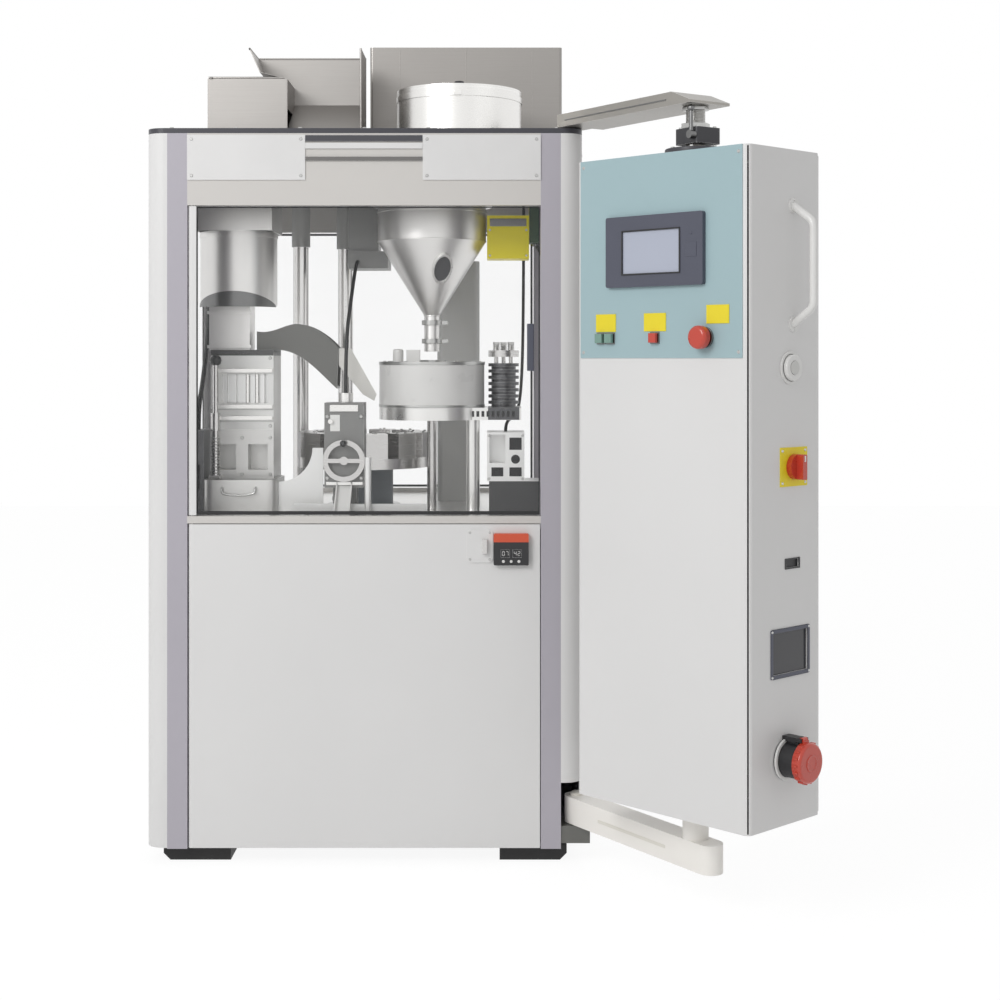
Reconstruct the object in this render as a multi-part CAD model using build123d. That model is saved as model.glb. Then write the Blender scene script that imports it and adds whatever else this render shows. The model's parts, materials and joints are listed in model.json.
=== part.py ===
"""Floor-standing automatic capsule filler with a control pendant on swing arms.

Millimetres, +Z up. The origin is on the floor under the middle of the main
cabinet, +X to the operator's right, and the operator stands at -Y.
"""
from build123d import *
import os
from math import atan2, cos, degrees, hypot, radians, sin

os.makedirs("parts", exist_ok=True)

# ---- clearances -----------------------------------------------------------
RUN_GAP = 0.05  # radial, shafts in their bearings
FIT_GAP = 0.3  # between neighbouring pieces that move past each other
DOOR_GAP = 2.0  # round doors and covers

# ---- main cabinet ---------------------------------------------------------
CAB_W = 1020.0
CAB_D = 860.0
CAB_TOP = 1704.0
CORNER_R = 42.0
SKIN_T = 3.0
FOOT_H = 36.0
FOOT_L = 158.0
FOOT_W = 90.0
FOOT_INSET = 36.0
ANCHOR_R = 7.0
TRAY_T = 12.0
RETURN_W = 51.0  # how far a side panel turns round on the front
POST_W = 47.0
POST_D = 60.0
POST_WALL = 4.0
DECK_T = 12.0
LEAF_T = 20.0  # thickness of the steel doors and the header
TABLE_Z = 800.0
TABLE_T = 20.0
BEAM_H = 60.0
BEAM_W = 40.0
SILL_H = 17.0
HEAD_Z = 1536.0
PLACARD_W = 275.0
PLACARD_H = 105.0
PLACARD_T = 3.0
RAIL_T = 4.0
SIDE_WINDOW_L = 640.0
GLASS_T = 6.0
STILE_W = 19.0
PIN_R = 4.0
HINGE_INSET = 8.0
LOUVRE_COUNT = 9
LOUVRE_L = 420.0
LOUVRE_H = 8.0
LOUVRE_PITCH = 26.0
LOUVRE_TOP = 430.0
RAILS = ((19.0, 14.0), (36.0, 13.0), (64.0, 9.0))  # foot below the deck line, height

# ---- lower door furniture -------------------------------------------------
LOCK_X = 270.0
LOCK_DROP = 58.0  # below the table top
LOCK_W = 62.0
LOCK_H = 77.0
LATCH_R = 11.0
TONGUE_L = 34.0
COUNTER_X = 343.0
COUNTER_DROP = 65.0
COUNTER_W = 82.0
COUNTER_H = 74.0
COUNTER_T = 14.0

# ---- things on the deck ---------------------------------------------------
DRUM_ASIDE = 70.0  # to the right of the funnel
DRUM_BACK = 48.0  # clear of the front, and of the rear cover
DRUM_R = 152.0
DRUM_TOP = 1822.0
SHEET_T = 2.5
LID_T = 7.0
REAR_BOX_X = (-17.0, 476.0)
REAR_BOX_D = 280.0
DRUM_SINK = 54.0  # of the drum's floor under the deck
REAR_BOX_TOP = 1978.0
CHEST_X = (-394.0, -203.0)
CHEST_Y = (-262.0, -96.0)
CHEST_TOP = 1859.0
SCOOP_TOP = 1933.0
SCOOP_X = (-293.0, -20.0)
SCOOP_FOOT_X = -198.0
SCOOP_Y = (-262.0, -112.0)
SCOOP_CREASE_Z = 1814.0

# ---- powder side ----------------------------------------------------------
POWDER_ASIDE = 9.0  # of the funnel's axis, beyond the turret's edge
POWDER_Y = -150.0
FUNNEL_R = 135.0
FUNNEL_TOP = 1560.0
CONE_TOP = 1470.0
CONE_FOOT = 1285.0
SPOUT_R = 19.0
SPOUT_FOOT = 1196.0
DOSER_R = 131.0
DOSER_Z = (1058.0, 1167.0)
DOSER_WALL = 6.0
DOSING_PLATE_T = 30.0
DOSING_DISC_T = 10.0
DOSER_SHAFT_R = 12.0

# ---- turret ---------------------------------------------------------------
TURRET_X = -30.0
TURRET_Y = -60.0
TURRET_R = 168.0
TURRET_Z = 905.0
TURRET_T = 26.0
TURRET_SHAFT_R = 25.0
SEGMENT_COUNT = 12
SEGMENT_L = 46.0
SEGMENT_W = 58.0
SEGMENT_H = 62.0
CAPSULE_R = 3.6

# ---- capsule side ---------------------------------------------------------
BIN_X = -335.0
BIN_Y = -150.0
BIN_R = 95.0
BIN_Z = (1312.0, 1492.0)
SORTER_X = (-392.0, -238.0)
SORTER_Y = (-230.0, -90.0)
SORTER_Z = (995.0, 1200.0)
SORTER_WALL = 8.0
PAN_X = (-400.0, -222.0)
PAN_Y = (-300.0, -122.0)
PAN_H = 86.0

# ---- drive under the table ------------------------------------------------
CAM_Y = 60.0
CAM_DROP = 220.0  # under the table
CAM_SHAFT_R = 15.0
CAM_SHAFT_X = (-330.0, 330.0)
BIG_PULLEY_R = 90.0
SMALL_PULLEY_R = 45.0
PULLEY_W = 32.0
PULLEY_X = -215.0
BELT_T = 4.0
MOTOR_Z = 180.0
MOTOR_R = 72.0
MOTOR_L = 210.0
REDUCER_W = 130.0

# ---- arms and pendant -----------------------------------------------------
PIVOT_INSET = 13.0
PIVOT_BACK = 42.0
ARM_L = 428.0
ARM_TURN = -56.0
UPPER_ARM_Z = (1718.5, 1748.0)
UPPER_ARM_W = 112.0
LOWER_ARM_Z = (90.0, 152.0)
LOWER_ARM_W = 56.0
ARM_PIN_R = 9.0
NOTCH_TOP = 190.0
NOTCH_Y = -290.0
PENDANT_W = 470.0
PENDANT_D = 245.0
PENDANT_Z = (226.0, 1608.0)
PENDANT_TURN = -46.0
PENDANT_WALL = 3.0
PENDANT_R = 14.0
PENDANT_DOOR_T = 16.0
TEAL_Z = 1180.0
PANEL_T = 2.0
SWIVEL_R = 66.0
STEM_R = 20.0
FOOT_PIN_R = 14.0
BEZEL_U = (97.0, 363.0)
BEZEL_Z = (1330.0, 1480.0)
SCREEN_U = (146.0, 301.0)
SCREEN_Z = (1358.0, 1447.0)
BEZEL_T = 10.0
BUTTON_TRAVEL = 4.0
HANDLE_V = 150.0
HANDLE_Z = (1249.0, 1493.0)
HANDLE_REACH = 50.0
HANDLE_R = 8.0
INLET_V = 124.0
INLET_Z = 362.0
INLET_R = 41.0
INLET_L = 44.0
CAP_L = 20.0

# ---- worked out from the values above -------------------------------------
HALF_W = CAB_W / 2
HALF_D = CAB_D / 2
TRAY_Z = FOOT_H + TRAY_T
POST_OUT_X = HALF_W - RETURN_W
POST_IN_X = POST_OUT_X - POST_W
POST_IN_Y = HALF_D - POST_D
TABLE_UNDER = TABLE_Z - TABLE_T
SILL_Z = TABLE_Z - SILL_H / 3
DECK_Z = CAB_TOP + DECK_T
LOCK_Z = TABLE_Z - LOCK_DROP
COUNTER_Z = TABLE_Z - COUNTER_DROP
CAM_Z = TABLE_UNDER - CAM_DROP
PIVOT_X = HALF_W - PIVOT_INSET
PIVOT_Y = -HALF_D + PIVOT_BACK
POWDER_X = TURRET_X + TURRET_R + POWDER_ASIDE
DRUM_X = POWDER_X + DRUM_ASIDE
DRUM_Y = -HALF_D + DRUM_BACK + DRUM_R
REAR_BOX_FRONT = DRUM_Y + DRUM_R + DRUM_BACK
REAR_BOX_Y = (REAR_BOX_FRONT, REAR_BOX_FRONT + REAR_BOX_D)
DRUM_FLOOR = CAB_TOP - DRUM_SINK
DOOR_TOP = SILL_Z - DOOR_GAP
GUARD_FOOT = SILL_Z + SILL_H + DOOR_GAP
GUARD_TOP = HEAD_Z - DOOR_GAP
LEAF_X = POST_IN_X - DOOR_GAP
FRONT_PIN = (-POST_IN_X + DOOR_GAP + HINGE_INSET, -HALF_D + HINGE_INSET)
REAR_PIN = (FRONT_PIN[0], -FRONT_PIN[1])
SWIVEL_X = PIVOT_X + ARM_L * cos(radians(ARM_TURN))
SWIVEL_Y = PIVOT_Y + ARM_L * sin(radians(ARM_TURN))
SPOUT_HOLE_R = SPOUT_R + SHEET_T + FIT_GAP
PENDANT_PLACE = Location((SWIVEL_X, SWIVEL_Y, 0), (0, 0, PENDANT_TURN))
ARM_PLACE = Location((PIVOT_X, PIVOT_Y, 0), (0, 0, ARM_TURN))


# ---- small makers ---------------------------------------------------------
def block(x, y, z):
    """A box between two X, two Y and two Z values."""
    size = (x[1] - x[0], y[1] - y[0], z[1] - z[0])
    middle = ((x[0] + x[1]) / 2, (y[0] + y[1]) / 2, (z[0] + z[1]) / 2)
    return Pos(*middle) * Box(*size)


def post(x, y, z, r):
    """An upright round bar."""
    return Pos(x, y, (z[0] + z[1]) / 2) * Cylinder(r, z[1] - z[0])


def bar_x(x, y, z, r):
    """A round bar along X."""
    return Pos((x[0] + x[1]) / 2, y, z) * Rot(0, 90, 0) * Cylinder(r, x[1] - x[0])


def bar_y(x, y, z, r):
    """A round bar along Y."""
    return Pos(x, (y[0] + y[1]) / 2, z) * Rot(90, 0, 0) * Cylinder(r, y[1] - y[0])


def bar_to(start, end, r):
    """A round bar between two points."""
    path = Line(start, end)
    return sweep(path.location_at(0) * Circle(r), path=path)


def tube_z(x, y, z, r, wall):
    """An upright round tube."""
    return post(x, y, z, r) - post(x, y, z, r - wall)


def plate_xz(points, y):
    """A flat plate with an outline of (x, z) points, between two Y values."""
    face = make_face(Polyline(*[(px, 0, pz) for px, pz in points], close=True))
    solid = extrude(face, amount=y[1] - y[0], dir=(0, 1, 0))
    return Pos(0, y[0], 0) * solid


def plate_yz(points, x):
    """A flat plate with an outline of (y, z) points, between two X values."""
    face = make_face(Polyline(*[(0, py, pz) for py, pz in points], close=True))
    solid = extrude(face, amount=x[1] - x[0], dir=(1, 0, 0))
    return Pos(x[0], 0, 0) * solid


def upright(shape, radius):
    """Rounds the upright edges of a block."""
    return fillet(shape.edges().filter_by(Axis.Z), radius)


def save(name, *shapes):
    """Writes one node, as one file that may hold several solids."""
    solids = []
    for shape in shapes:
        solids += list(shape.solids())
    export_step(solids[0] if len(solids) == 1 else Compound(children=solids), f"parts/{name}.step")


# ---- cabinet shell --------------------------------------------------------
FOOT_X = HALF_W - FOOT_INSET - FOOT_L / 2
FOOT_Y = HALF_D - FOOT_INSET - FOOT_W / 2
FOOT_CHAMFER = 16.0


def corners():
    """The four (x, y) corners, as signs."""
    return [(-1, -1), (1, -1), (1, 1), (-1, 1)]


def feet():
    made = []
    for sx, sy in corners():
        foot = Pos(sx * FOOT_X, sy * FOOT_Y, FOOT_H / 2) * Box(FOOT_L, FOOT_W, FOOT_H)
        outer = foot.faces().sort_by(Axis.X)[-1 if sx > 0 else 0]
        foot = chamfer(outer.edges().sort_by(Axis.Z)[0], FOOT_CHAMFER)
        made.append(foot - post(sx * FOOT_X, sy * FOOT_Y, (0, FOOT_H), ANCHOR_R))
    return made


def anchor_holes(z):
    return [post(sx * FOOT_X, sy * FOOT_Y, z, ANCHOR_R) for sx, sy in corners()]


def cross_plate(z, side_x, leaf_y):
    """A plate that fills the cabinet's plan and stands back from the corner posts."""
    wide = block((-side_x, side_x), (-POST_IN_Y, POST_IN_Y), z)
    deep = block((-POST_IN_X, POST_IN_X), (-leaf_y, leaf_y), z)
    return wide + deep


def base_frame():
    """Tray, four corner tubes and four beams under the table, as one welded set."""
    side_x = HALF_W - SKIN_T - FIT_GAP
    tray = cross_plate((FOOT_H, TRAY_Z), side_x, HALF_D - LEAF_T - DOOR_GAP)
    tray = tray - anchor_holes((FOOT_H, TRAY_Z))
    made = [tray]
    for sx, sy in corners():
        x = sorted((sx * POST_IN_X, sx * POST_OUT_X))
        y = sorted((sy * POST_IN_Y, sy * HALF_D))
        tube = block(x, y, (FOOT_H, CAB_TOP))
        inner_x = (x[0] + POST_WALL, x[1] - POST_WALL)
        inner_y = (y[0] + POST_WALL, y[1] - POST_WALL)
        tube = tube - block(inner_x, inner_y, (FOOT_H + POST_WALL, CAB_TOP - POST_WALL))
        made.append(tube - post(sx * FOOT_X, sy * FOOT_Y, (FOOT_H, FOOT_H + POST_WALL), ANCHOR_R))
    beam_z = (TABLE_UNDER - BEAM_H, TABLE_UNDER)
    beam_y = POST_IN_Y - BEAM_W
    for sy in (-1, 1):
        y = sorted((sy * beam_y, sy * POST_IN_Y))
        made.append(block((-POST_OUT_X, POST_OUT_X), y, beam_z))
    for sx in (-1, 1):
        x = sorted((sx * (POST_OUT_X - BEAM_W), sx * POST_OUT_X))
        made.append(block(x, (-beam_y, beam_y), beam_z))
    return made


def side_panels():
    """Two C-shaped skins, each with a window beside the work area."""
    height = CAB_TOP - FOOT_H - DOOR_GAP
    z_mid = FOOT_H + DOOR_GAP + height / 2
    outer = upright(Box(CAB_W, CAB_D, height), CORNER_R)
    inner = upright(Box(CAB_W - 2 * SKIN_T, CAB_D - 2 * SKIN_T, height), CORNER_R - SKIN_T)
    skin = Pos(0, 0, z_mid) * (outer - inner)
    skin = skin - block((-POST_OUT_X, POST_OUT_X), (-HALF_D, HALF_D), (0, CAB_TOP))
    window = block((-HALF_W, HALF_W), (-SIDE_WINDOW_L / 2, SIDE_WINDOW_L / 2), (GUARD_FOOT, GUARD_TOP))
    skin = skin - window
    notch = block((POST_OUT_X, HALF_W), (-HALF_D, NOTCH_Y), (0, NOTCH_TOP))
    return skin - notch


def side_windows():
    made = []
    lip = STILE_W
    for sx in (-1, 1):
        x = sorted((sx * (HALF_W - SKIN_T - GLASS_T), sx * (HALF_W - SKIN_T)))
        y = (-SIDE_WINDOW_L / 2 - lip, SIDE_WINDOW_L / 2 + lip)
        made.append(block(x, y, (GUARD_FOOT - lip, GUARD_TOP + lip)))
    return made


def work_table():
    table = cross_plate((TABLE_UNDER, TABLE_Z), POST_OUT_X, HALF_D - LEAF_T - DOOR_GAP)
    keeper_x = (LOCK_X - LOCK_W / 3, LOCK_X + LOCK_W / 3)
    edge_y = -HALF_D + LEAF_T + DOOR_GAP
    table = table + block(keeper_x, (edge_y, edge_y + SKIN_T), (TABLE_UNDER - TABLE_T / 2, TABLE_UNDER))
    table = table - post(TURRET_X, TURRET_Y, (TABLE_UNDER, TABLE_Z), TURRET_SHAFT_R + RUN_GAP)
    return table - post(POWDER_X, POWDER_Y, (TABLE_UNDER, TABLE_Z), DOSER_SHAFT_R + RUN_GAP)


def header_panels():
    """Front and rear sills and headers, which carry the door pins."""
    made = []
    for sy in (-1, 1):
        y = sorted((sy * (HALF_D - LEAF_T), sy * HALF_D))
        pin_y = sy * (HALF_D - HINGE_INSET)
        for z in ((SILL_Z, SILL_Z + SILL_H), (HEAD_Z, CAB_TOP)):
            panel = block((-POST_IN_X, POST_IN_X), y, z)
            made.append(panel - post(FRONT_PIN[0], pin_y, (z[0], z[0] + 2 * SILL_H), PIN_R + RUN_GAP))
    return made


def header_trim():
    """Two blank placards and three rails across the front of the header."""
    top = CAB_TOP - RAIL_T
    y = (-HALF_D - PLACARD_T, -HALF_D)
    left = block((-POST_IN_X, -POST_IN_X + PLACARD_W), y, (top - PLACARD_H, top))
    right = block((POST_IN_X - PLACARD_W, POST_IN_X), y, (top - PLACARD_H, top))
    made = [left, right]
    rail_x = (-POST_IN_X + PLACARD_W + FIT_GAP, POST_IN_X - PLACARD_W - FIT_GAP)
    for drop, height in RAILS:
        made.append(block(rail_x, (-HALF_D - RAIL_T, -HALF_D), (CAB_TOP - drop, CAB_TOP - drop + height)))
    return made


def deck():
    plate = upright(Box(CAB_W, CAB_D, DECK_T), CORNER_R)
    plate = Pos(0, 0, CAB_TOP + DECK_T / 2) * plate
    z = (CAB_TOP, DECK_Z)
    plate = plate - post(DRUM_X, DRUM_Y, z, DRUM_R + FIT_GAP)
    plate = plate - capsule_drop(z)
    return plate - post(PIVOT_X, PIVOT_Y, z, ARM_PIN_R)


def capsule_drop(z):
    """The square way down for capsules, through the deck."""
    wall = 2 * SHEET_T
    x = (max(CHEST_X[0], BIN_X - BIN_R) + wall, min(CHEST_X[1], BIN_X + BIN_R) - wall)
    return block(x, (BIN_Y - BIN_R / 2, BIN_Y + BIN_R / 2), z)


# ---- doors and guards -----------------------------------------------------
def leaf(z, y_out, y_in, pin_y):
    """A door leaf on a pin at its foot that also stands out above, rounded about the pin."""
    y = sorted((y_out, y_in))
    door = block((-LEAF_X, LEAF_X), y, z)
    door = fillet(door.edges().filter_by(Axis.Z).sort_by(Axis.X)[:2], HINGE_INSET)
    return door + post(FRONT_PIN[0], pin_y, (z[0], z[1] + SILL_H / 2), PIN_R)


def lower_door():
    """Front door of the drive bay, with the raised plate that holds its latch."""
    z = (FOOT_H + DOOR_GAP, DOOR_TOP)
    door = leaf(z, -HALF_D, -HALF_D + LEAF_T, FRONT_PIN[1])
    plate = Box(LOCK_W, PLACARD_T, LOCK_H)
    plate = fillet(plate.edges().filter_by(Axis.Y), LOCK_W / 5)
    door = door + Pos(LOCK_X, -HALF_D - PLACARD_T / 2, LOCK_Z) * plate
    through = (-HALF_D - PLACARD_T, -HALF_D + LEAF_T)
    return door - bar_y(LOCK_X + LATCH_R, through, LOCK_Z, LATCH_R / 2 + RUN_GAP)


def door_latch():
    """A turn latch: knob outside, spindle through the door, tongue inside."""
    x = LOCK_X + LATCH_R
    front = -HALF_D - PLACARD_T
    back = -HALF_D + LEAF_T
    knob = Pos(x, front - LATCH_R / 2 - FIT_GAP, LOCK_Z) * Box(LATCH_R, LATCH_R, 3 * LATCH_R)
    spindle = bar_y(x, (front - FIT_GAP, back + LATCH_R), LOCK_Z, LATCH_R / 2)
    tongue_y = (back + DOOR_GAP + SKIN_T + FIT_GAP, back + DOOR_GAP + 2 * SKIN_T + FIT_GAP)
    tongue = block((x - TONGUE_L, x + LATCH_R), tongue_y, (LOCK_Z - LATCH_R / 2, LOCK_Z + LATCH_R / 2))
    return knob + spindle + tongue


def counter():
    """Batch counter on the lower door, with two display windows."""
    x = (COUNTER_X - COUNTER_W / 2, COUNTER_X + COUNTER_W / 2)
    z = (COUNTER_Z - COUNTER_H / 2, COUNTER_Z + COUNTER_H / 2)
    body = block(x, (-HALF_D - COUNTER_T, -HALF_D), z)
    body = fillet(body.edges().filter_by(Axis.Y), 2 * DOOR_GAP)
    for side in (-1, 1):
        window = Box(COUNTER_W / 4, RAIL_T, COUNTER_H / 4)
        at = Pos(COUNTER_X + side * COUNTER_W / 6, -HALF_D - COUNTER_T, COUNTER_Z - COUNTER_H / 8)
        body = body - at * window
    return body


def guard(sign):
    """A clear leaf with its hinge stile, for the front (-1) or the rear (1)."""
    z = (GUARD_FOOT, GUARD_TOP)
    pin_y = sign * (HALF_D - HINGE_INSET)
    out_y = sign * HALF_D
    stile_y = sorted((out_y, out_y - sign * 2 * HINGE_INSET))
    stile = block((-LEAF_X, -LEAF_X + STILE_W), stile_y, z)
    stile = fillet(stile.edges().filter_by(Axis.Z).sort_by(Axis.X)[:2], HINGE_INSET - FIT_GAP)
    stile = stile + post(FRONT_PIN[0], pin_y, (z[0] - SILL_H / 2, z[1] + SILL_H / 2), PIN_R)
    glass_y = sorted((pin_y - GLASS_T / 2, pin_y + GLASS_T / 2))
    glass = block((-LEAF_X + STILE_W, LEAF_X), glass_y, z)
    return [stile, glass]


def rear_door():
    """Louvred door of the drive bay."""
    door = leaf((FOOT_H + DOOR_GAP, DOOR_TOP), HALF_D, HALF_D - LEAF_T, REAR_PIN[1])
    for i in range(LOUVRE_COUNT):
        z = LOUVRE_TOP - i * LOUVRE_PITCH
        slot = block((-LOUVRE_L / 2, LOUVRE_L / 2), (HALF_D - LEAF_T, HALF_D), (z, z + LOUVRE_H))
        door = door - slot
    return door


# ---- on the deck ----------------------------------------------------------
OUTLET_R = 35.0
OUTLET_SHARE = 0.8  # of the way from the funnel's axis to the drum's
FLANGE_W = 16.0


def hopper_outlet():
    """Where powder falls from the drum into the funnel, inside both of them."""
    toward = atan2(DRUM_Y - POWDER_Y, DRUM_X - POWDER_X)
    reach = hypot(DRUM_X - POWDER_X, DRUM_Y - POWDER_Y) * OUTLET_SHARE
    return POWDER_X + reach * cos(toward), POWDER_Y + reach * sin(toward)


def powder_drum():
    """Open drum with a floor, an outlet collar and a flange on the deck."""
    shell = post(DRUM_X, DRUM_Y, (DRUM_FLOOR, DRUM_TOP), DRUM_R)
    shell = shell - post(DRUM_X, DRUM_Y, (DRUM_FLOOR + SHEET_T, DRUM_TOP), DRUM_R - SHEET_T)
    shell = shell + (
        post(DRUM_X, DRUM_Y, (DECK_Z, DECK_Z + SKIN_T), DRUM_R + FLANGE_W)
        - post(DRUM_X, DRUM_Y, (DECK_Z, DECK_Z + SKIN_T), DRUM_R - SHEET_T)
    )
    x, y = hopper_outlet()
    outlet_z = (FUNNEL_TOP - FLANGE_W, DRUM_FLOOR + SHEET_T)
    shell = shell + post(x, y, outlet_z, OUTLET_R)
    return shell - post(x, y, outlet_z, OUTLET_R - SHEET_T)


def powder_lid():
    """Lift-off lid with a knob and a rim that hangs inside the drum."""
    lid = post(DRUM_X, DRUM_Y, (DRUM_TOP, DRUM_TOP + LID_T), DRUM_R)
    inside = DRUM_R - SHEET_T - FIT_GAP
    lid = lid + tube_z(DRUM_X, DRUM_Y, (DRUM_TOP - 2 * LID_T, DRUM_TOP), inside, SHEET_T)
    top = DRUM_TOP + LID_T
    neck = post(DRUM_X, DRUM_Y, (top, top + LID_T), LID_T)
    knob = post(DRUM_X, DRUM_Y, (top + LID_T, top + 4 * LID_T), 1.6 * LID_T)
    return lid + neck + fillet(knob.edges(), LID_T / 2)


def rear_cover():
    """Tall folded cover over the dust and drive ducts at the back of the deck."""
    cover = block(REAR_BOX_X, REAR_BOX_Y, (DECK_Z, REAR_BOX_TOP))
    cover = upright(cover, 3 * SHEET_T)
    inner_x = (REAR_BOX_X[0] + SHEET_T, REAR_BOX_X[1] - SHEET_T)
    inner_y = (REAR_BOX_Y[0] + SHEET_T, REAR_BOX_Y[1] - SHEET_T)
    return cover - block(inner_x, inner_y, (DECK_Z, REAR_BOX_TOP - SHEET_T))


def capsule_hopper():
    """Chest over the capsule drop, and the open scoop beside it that is filled by hand."""
    chest = block(CHEST_X, CHEST_Y, (DECK_Z, CHEST_TOP))
    inner_x = (CHEST_X[0] + SHEET_T, CHEST_X[1] - SHEET_T)
    inner_y = (CHEST_Y[0] + SHEET_T, CHEST_Y[1] - SHEET_T)
    chest = chest - block(inner_x, inner_y, (DECK_Z, CHEST_TOP - SHEET_T))
    window_top = DECK_Z + (CHEST_TOP - DECK_Z) / 2
    chest = chest - block((CHEST_X[1] - SHEET_T, CHEST_X[1]), inner_y, (DECK_Z + SKIN_T, window_top))
    flange = block(CHEST_X, (CHEST_Y[0] - FLANGE_W, CHEST_Y[1] + FLANGE_W), (DECK_Z, DECK_Z + SHEET_T))
    chest = chest + (flange - block(inner_x, inner_y, (DECK_Z, DECK_Z + SHEET_T)))
    return [chest, scoop()]


def scoop():
    """Open-fronted scoop: leaning left wall, back, right wall and a floor that falls to the front."""
    thin = SHEET_T
    outline = [
        (SCOOP_FOOT_X, DECK_Z),
        (SCOOP_X[1], DECK_Z),
        (SCOOP_X[1], SCOOP_TOP),
        (SCOOP_X[0], SCOOP_TOP),
    ]
    made = plate_xz(outline, (SCOOP_Y[1] - thin, SCOOP_Y[1]))
    right = block((SCOOP_X[1] - thin, SCOOP_X[1]), SCOOP_Y, (DECK_Z, SCOOP_TOP))
    lean = (SCOOP_FOOT_X - SCOOP_X[0]) / (SCOOP_TOP - DECK_Z)
    clear_z = CHEST_TOP + FLANGE_W
    clear_x = SCOOP_FOOT_X - lean * (clear_z - DECK_Z)
    flare = [
        (SCOOP_X[0], SCOOP_TOP),
        (clear_x, clear_z),
        (CHEST_X[1] + FIT_GAP, clear_z - FLANGE_W),
        (CHEST_X[1] + FIT_GAP, DECK_Z),
        (CHEST_X[1] + FIT_GAP + thin, DECK_Z),
        (CHEST_X[1] + FIT_GAP + thin, clear_z - FLANGE_W),
        (clear_x + thin, clear_z),
        (SCOOP_X[0] + thin, SCOOP_TOP),
    ]
    left = plate_xz(flare, SCOOP_Y)
    floor_line = [
        (SCOOP_Y[0], DECK_Z),
        (SCOOP_Y[1] - thin, SCOOP_CREASE_Z),
        (SCOOP_Y[1] - thin, SCOOP_CREASE_Z + thin),
        (SCOOP_Y[0], DECK_Z + thin),
    ]
    floor_plate = plate_yz(floor_line, (CHEST_X[1] + FIT_GAP, SCOOP_X[1]))
    passage = block((CHEST_X[1], CHEST_X[1] + 2 * thin), (CHEST_Y[0] + thin, SCOOP_Y[1] - thin),
                    (DECK_Z + SKIN_T, DECK_Z + (CHEST_TOP - DECK_Z) / 2))
    trough = made - block((SCOOP_X[0], CHEST_X[1] + FIT_GAP), SCOOP_Y, (DECK_Z, clear_z - FLANGE_W))
    return trough + right + (left - passage) + floor_plate


# ---- powder side ----------------------------------------------------------
DOSING_PLATE_Z = (DOSER_Z[0] - DOSING_PLATE_T, DOSER_Z[0])
PILLAR_X = POWDER_X + 103.0
PILLAR_Y = (-232.0, -68.0)
PILLAR_R = 16.0
STACK_X = POWDER_X + 179.0
STACK_R = 38.0
RIB_COUNT = 7
ROD_R = 5.0
HANGER_TURNS = (-60.0, 0.0, 60.0)
BLADES = ((0.0, 0.75, 30.0), (60.0, 0.5, -30.0), (110.0, 0.3, -80.0))  # drop, share of the width, turn
COLUMN_X = (POWDER_X + 3.0, POWDER_X + 115.0)
COLUMN_Y = (112.0, 184.0)
COLUMN_TOP = 1437.0
KNOB_R = 13.0
KNOB_H = 32.0
CLAMP_H = 30.0
DISC_GAP = 1.0


def funnel():
    """Powder funnel: rolled rim, cylinder, cone and spout, hung from the deck on rods."""
    half = Polyline(
        (0, SPOUT_FOOT),
        (SPOUT_R, SPOUT_FOOT),
        (SPOUT_R, CONE_FOOT),
        (FUNNEL_R, CONE_TOP),
        (FUNNEL_R, FUNNEL_TOP),
        (0, FUNNEL_TOP),
        close=True,
    )
    outer = revolve(make_face(Plane.XZ * half), Axis.Z)
    thin = SHEET_T
    inside = Polyline(
        (0, SPOUT_FOOT),
        (SPOUT_R - thin, SPOUT_FOOT),
        (SPOUT_R - thin, CONE_FOOT),
        (FUNNEL_R - thin, CONE_TOP),
        (FUNNEL_R - thin, FUNNEL_TOP),
        (0, FUNNEL_TOP),
        close=True,
    )
    shell = outer - revolve(make_face(Plane.XZ * inside), Axis.Z)
    rim_z = (FUNNEL_TOP - SKIN_T, FUNNEL_TOP)
    rim = post(0, 0, rim_z, FUNNEL_R + FLANGE_W) - post(0, 0, rim_z, FUNNEL_R - thin)
    shell = shell + rim
    away = degrees(atan2(POWDER_Y - DRUM_Y, POWDER_X - DRUM_X))
    for turn in HANGER_TURNS:
        at = radians(away + turn)
        reach = FUNNEL_R + FLANGE_W / 2
        shell = shell + post(reach * cos(at), reach * sin(at), (FUNNEL_TOP - SKIN_T, CAB_TOP), ROD_R)
    return Pos(POWDER_X, POWDER_Y, 0) * shell


def auger():
    """Stirrer in the funnel, driven from above by its own small motor."""
    shaft = post(POWDER_X, POWDER_Y, (SPOUT_FOOT + FLANGE_W, FUNNEL_TOP + FLANGE_W), ROD_R)
    for drop, share, turn in BLADES:
        blade = Box(2 * FUNNEL_R * share, ROD_R, 2 * ROD_R)
        shaft = shaft + Pos(POWDER_X, POWDER_Y, CONE_TOP - drop) * Rot(0, 0, turn) * blade
    return shaft


def auger_motor():
    """Stirrer motor, bolted under the drum's floor beside the outlet."""
    x, y = hopper_outlet()
    body = post(POWDER_X, POWDER_Y, (FUNNEL_TOP + DOOR_GAP, DRUM_FLOOR), OUTLET_R - FIT_GAP)
    body = body - post(x, y, (FUNNEL_TOP, DRUM_FLOOR), OUTLET_R + FIT_GAP)
    return body - post(POWDER_X, POWDER_Y, (FUNNEL_TOP, FUNNEL_TOP + FLANGE_W), ROD_R + RUN_GAP)


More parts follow.
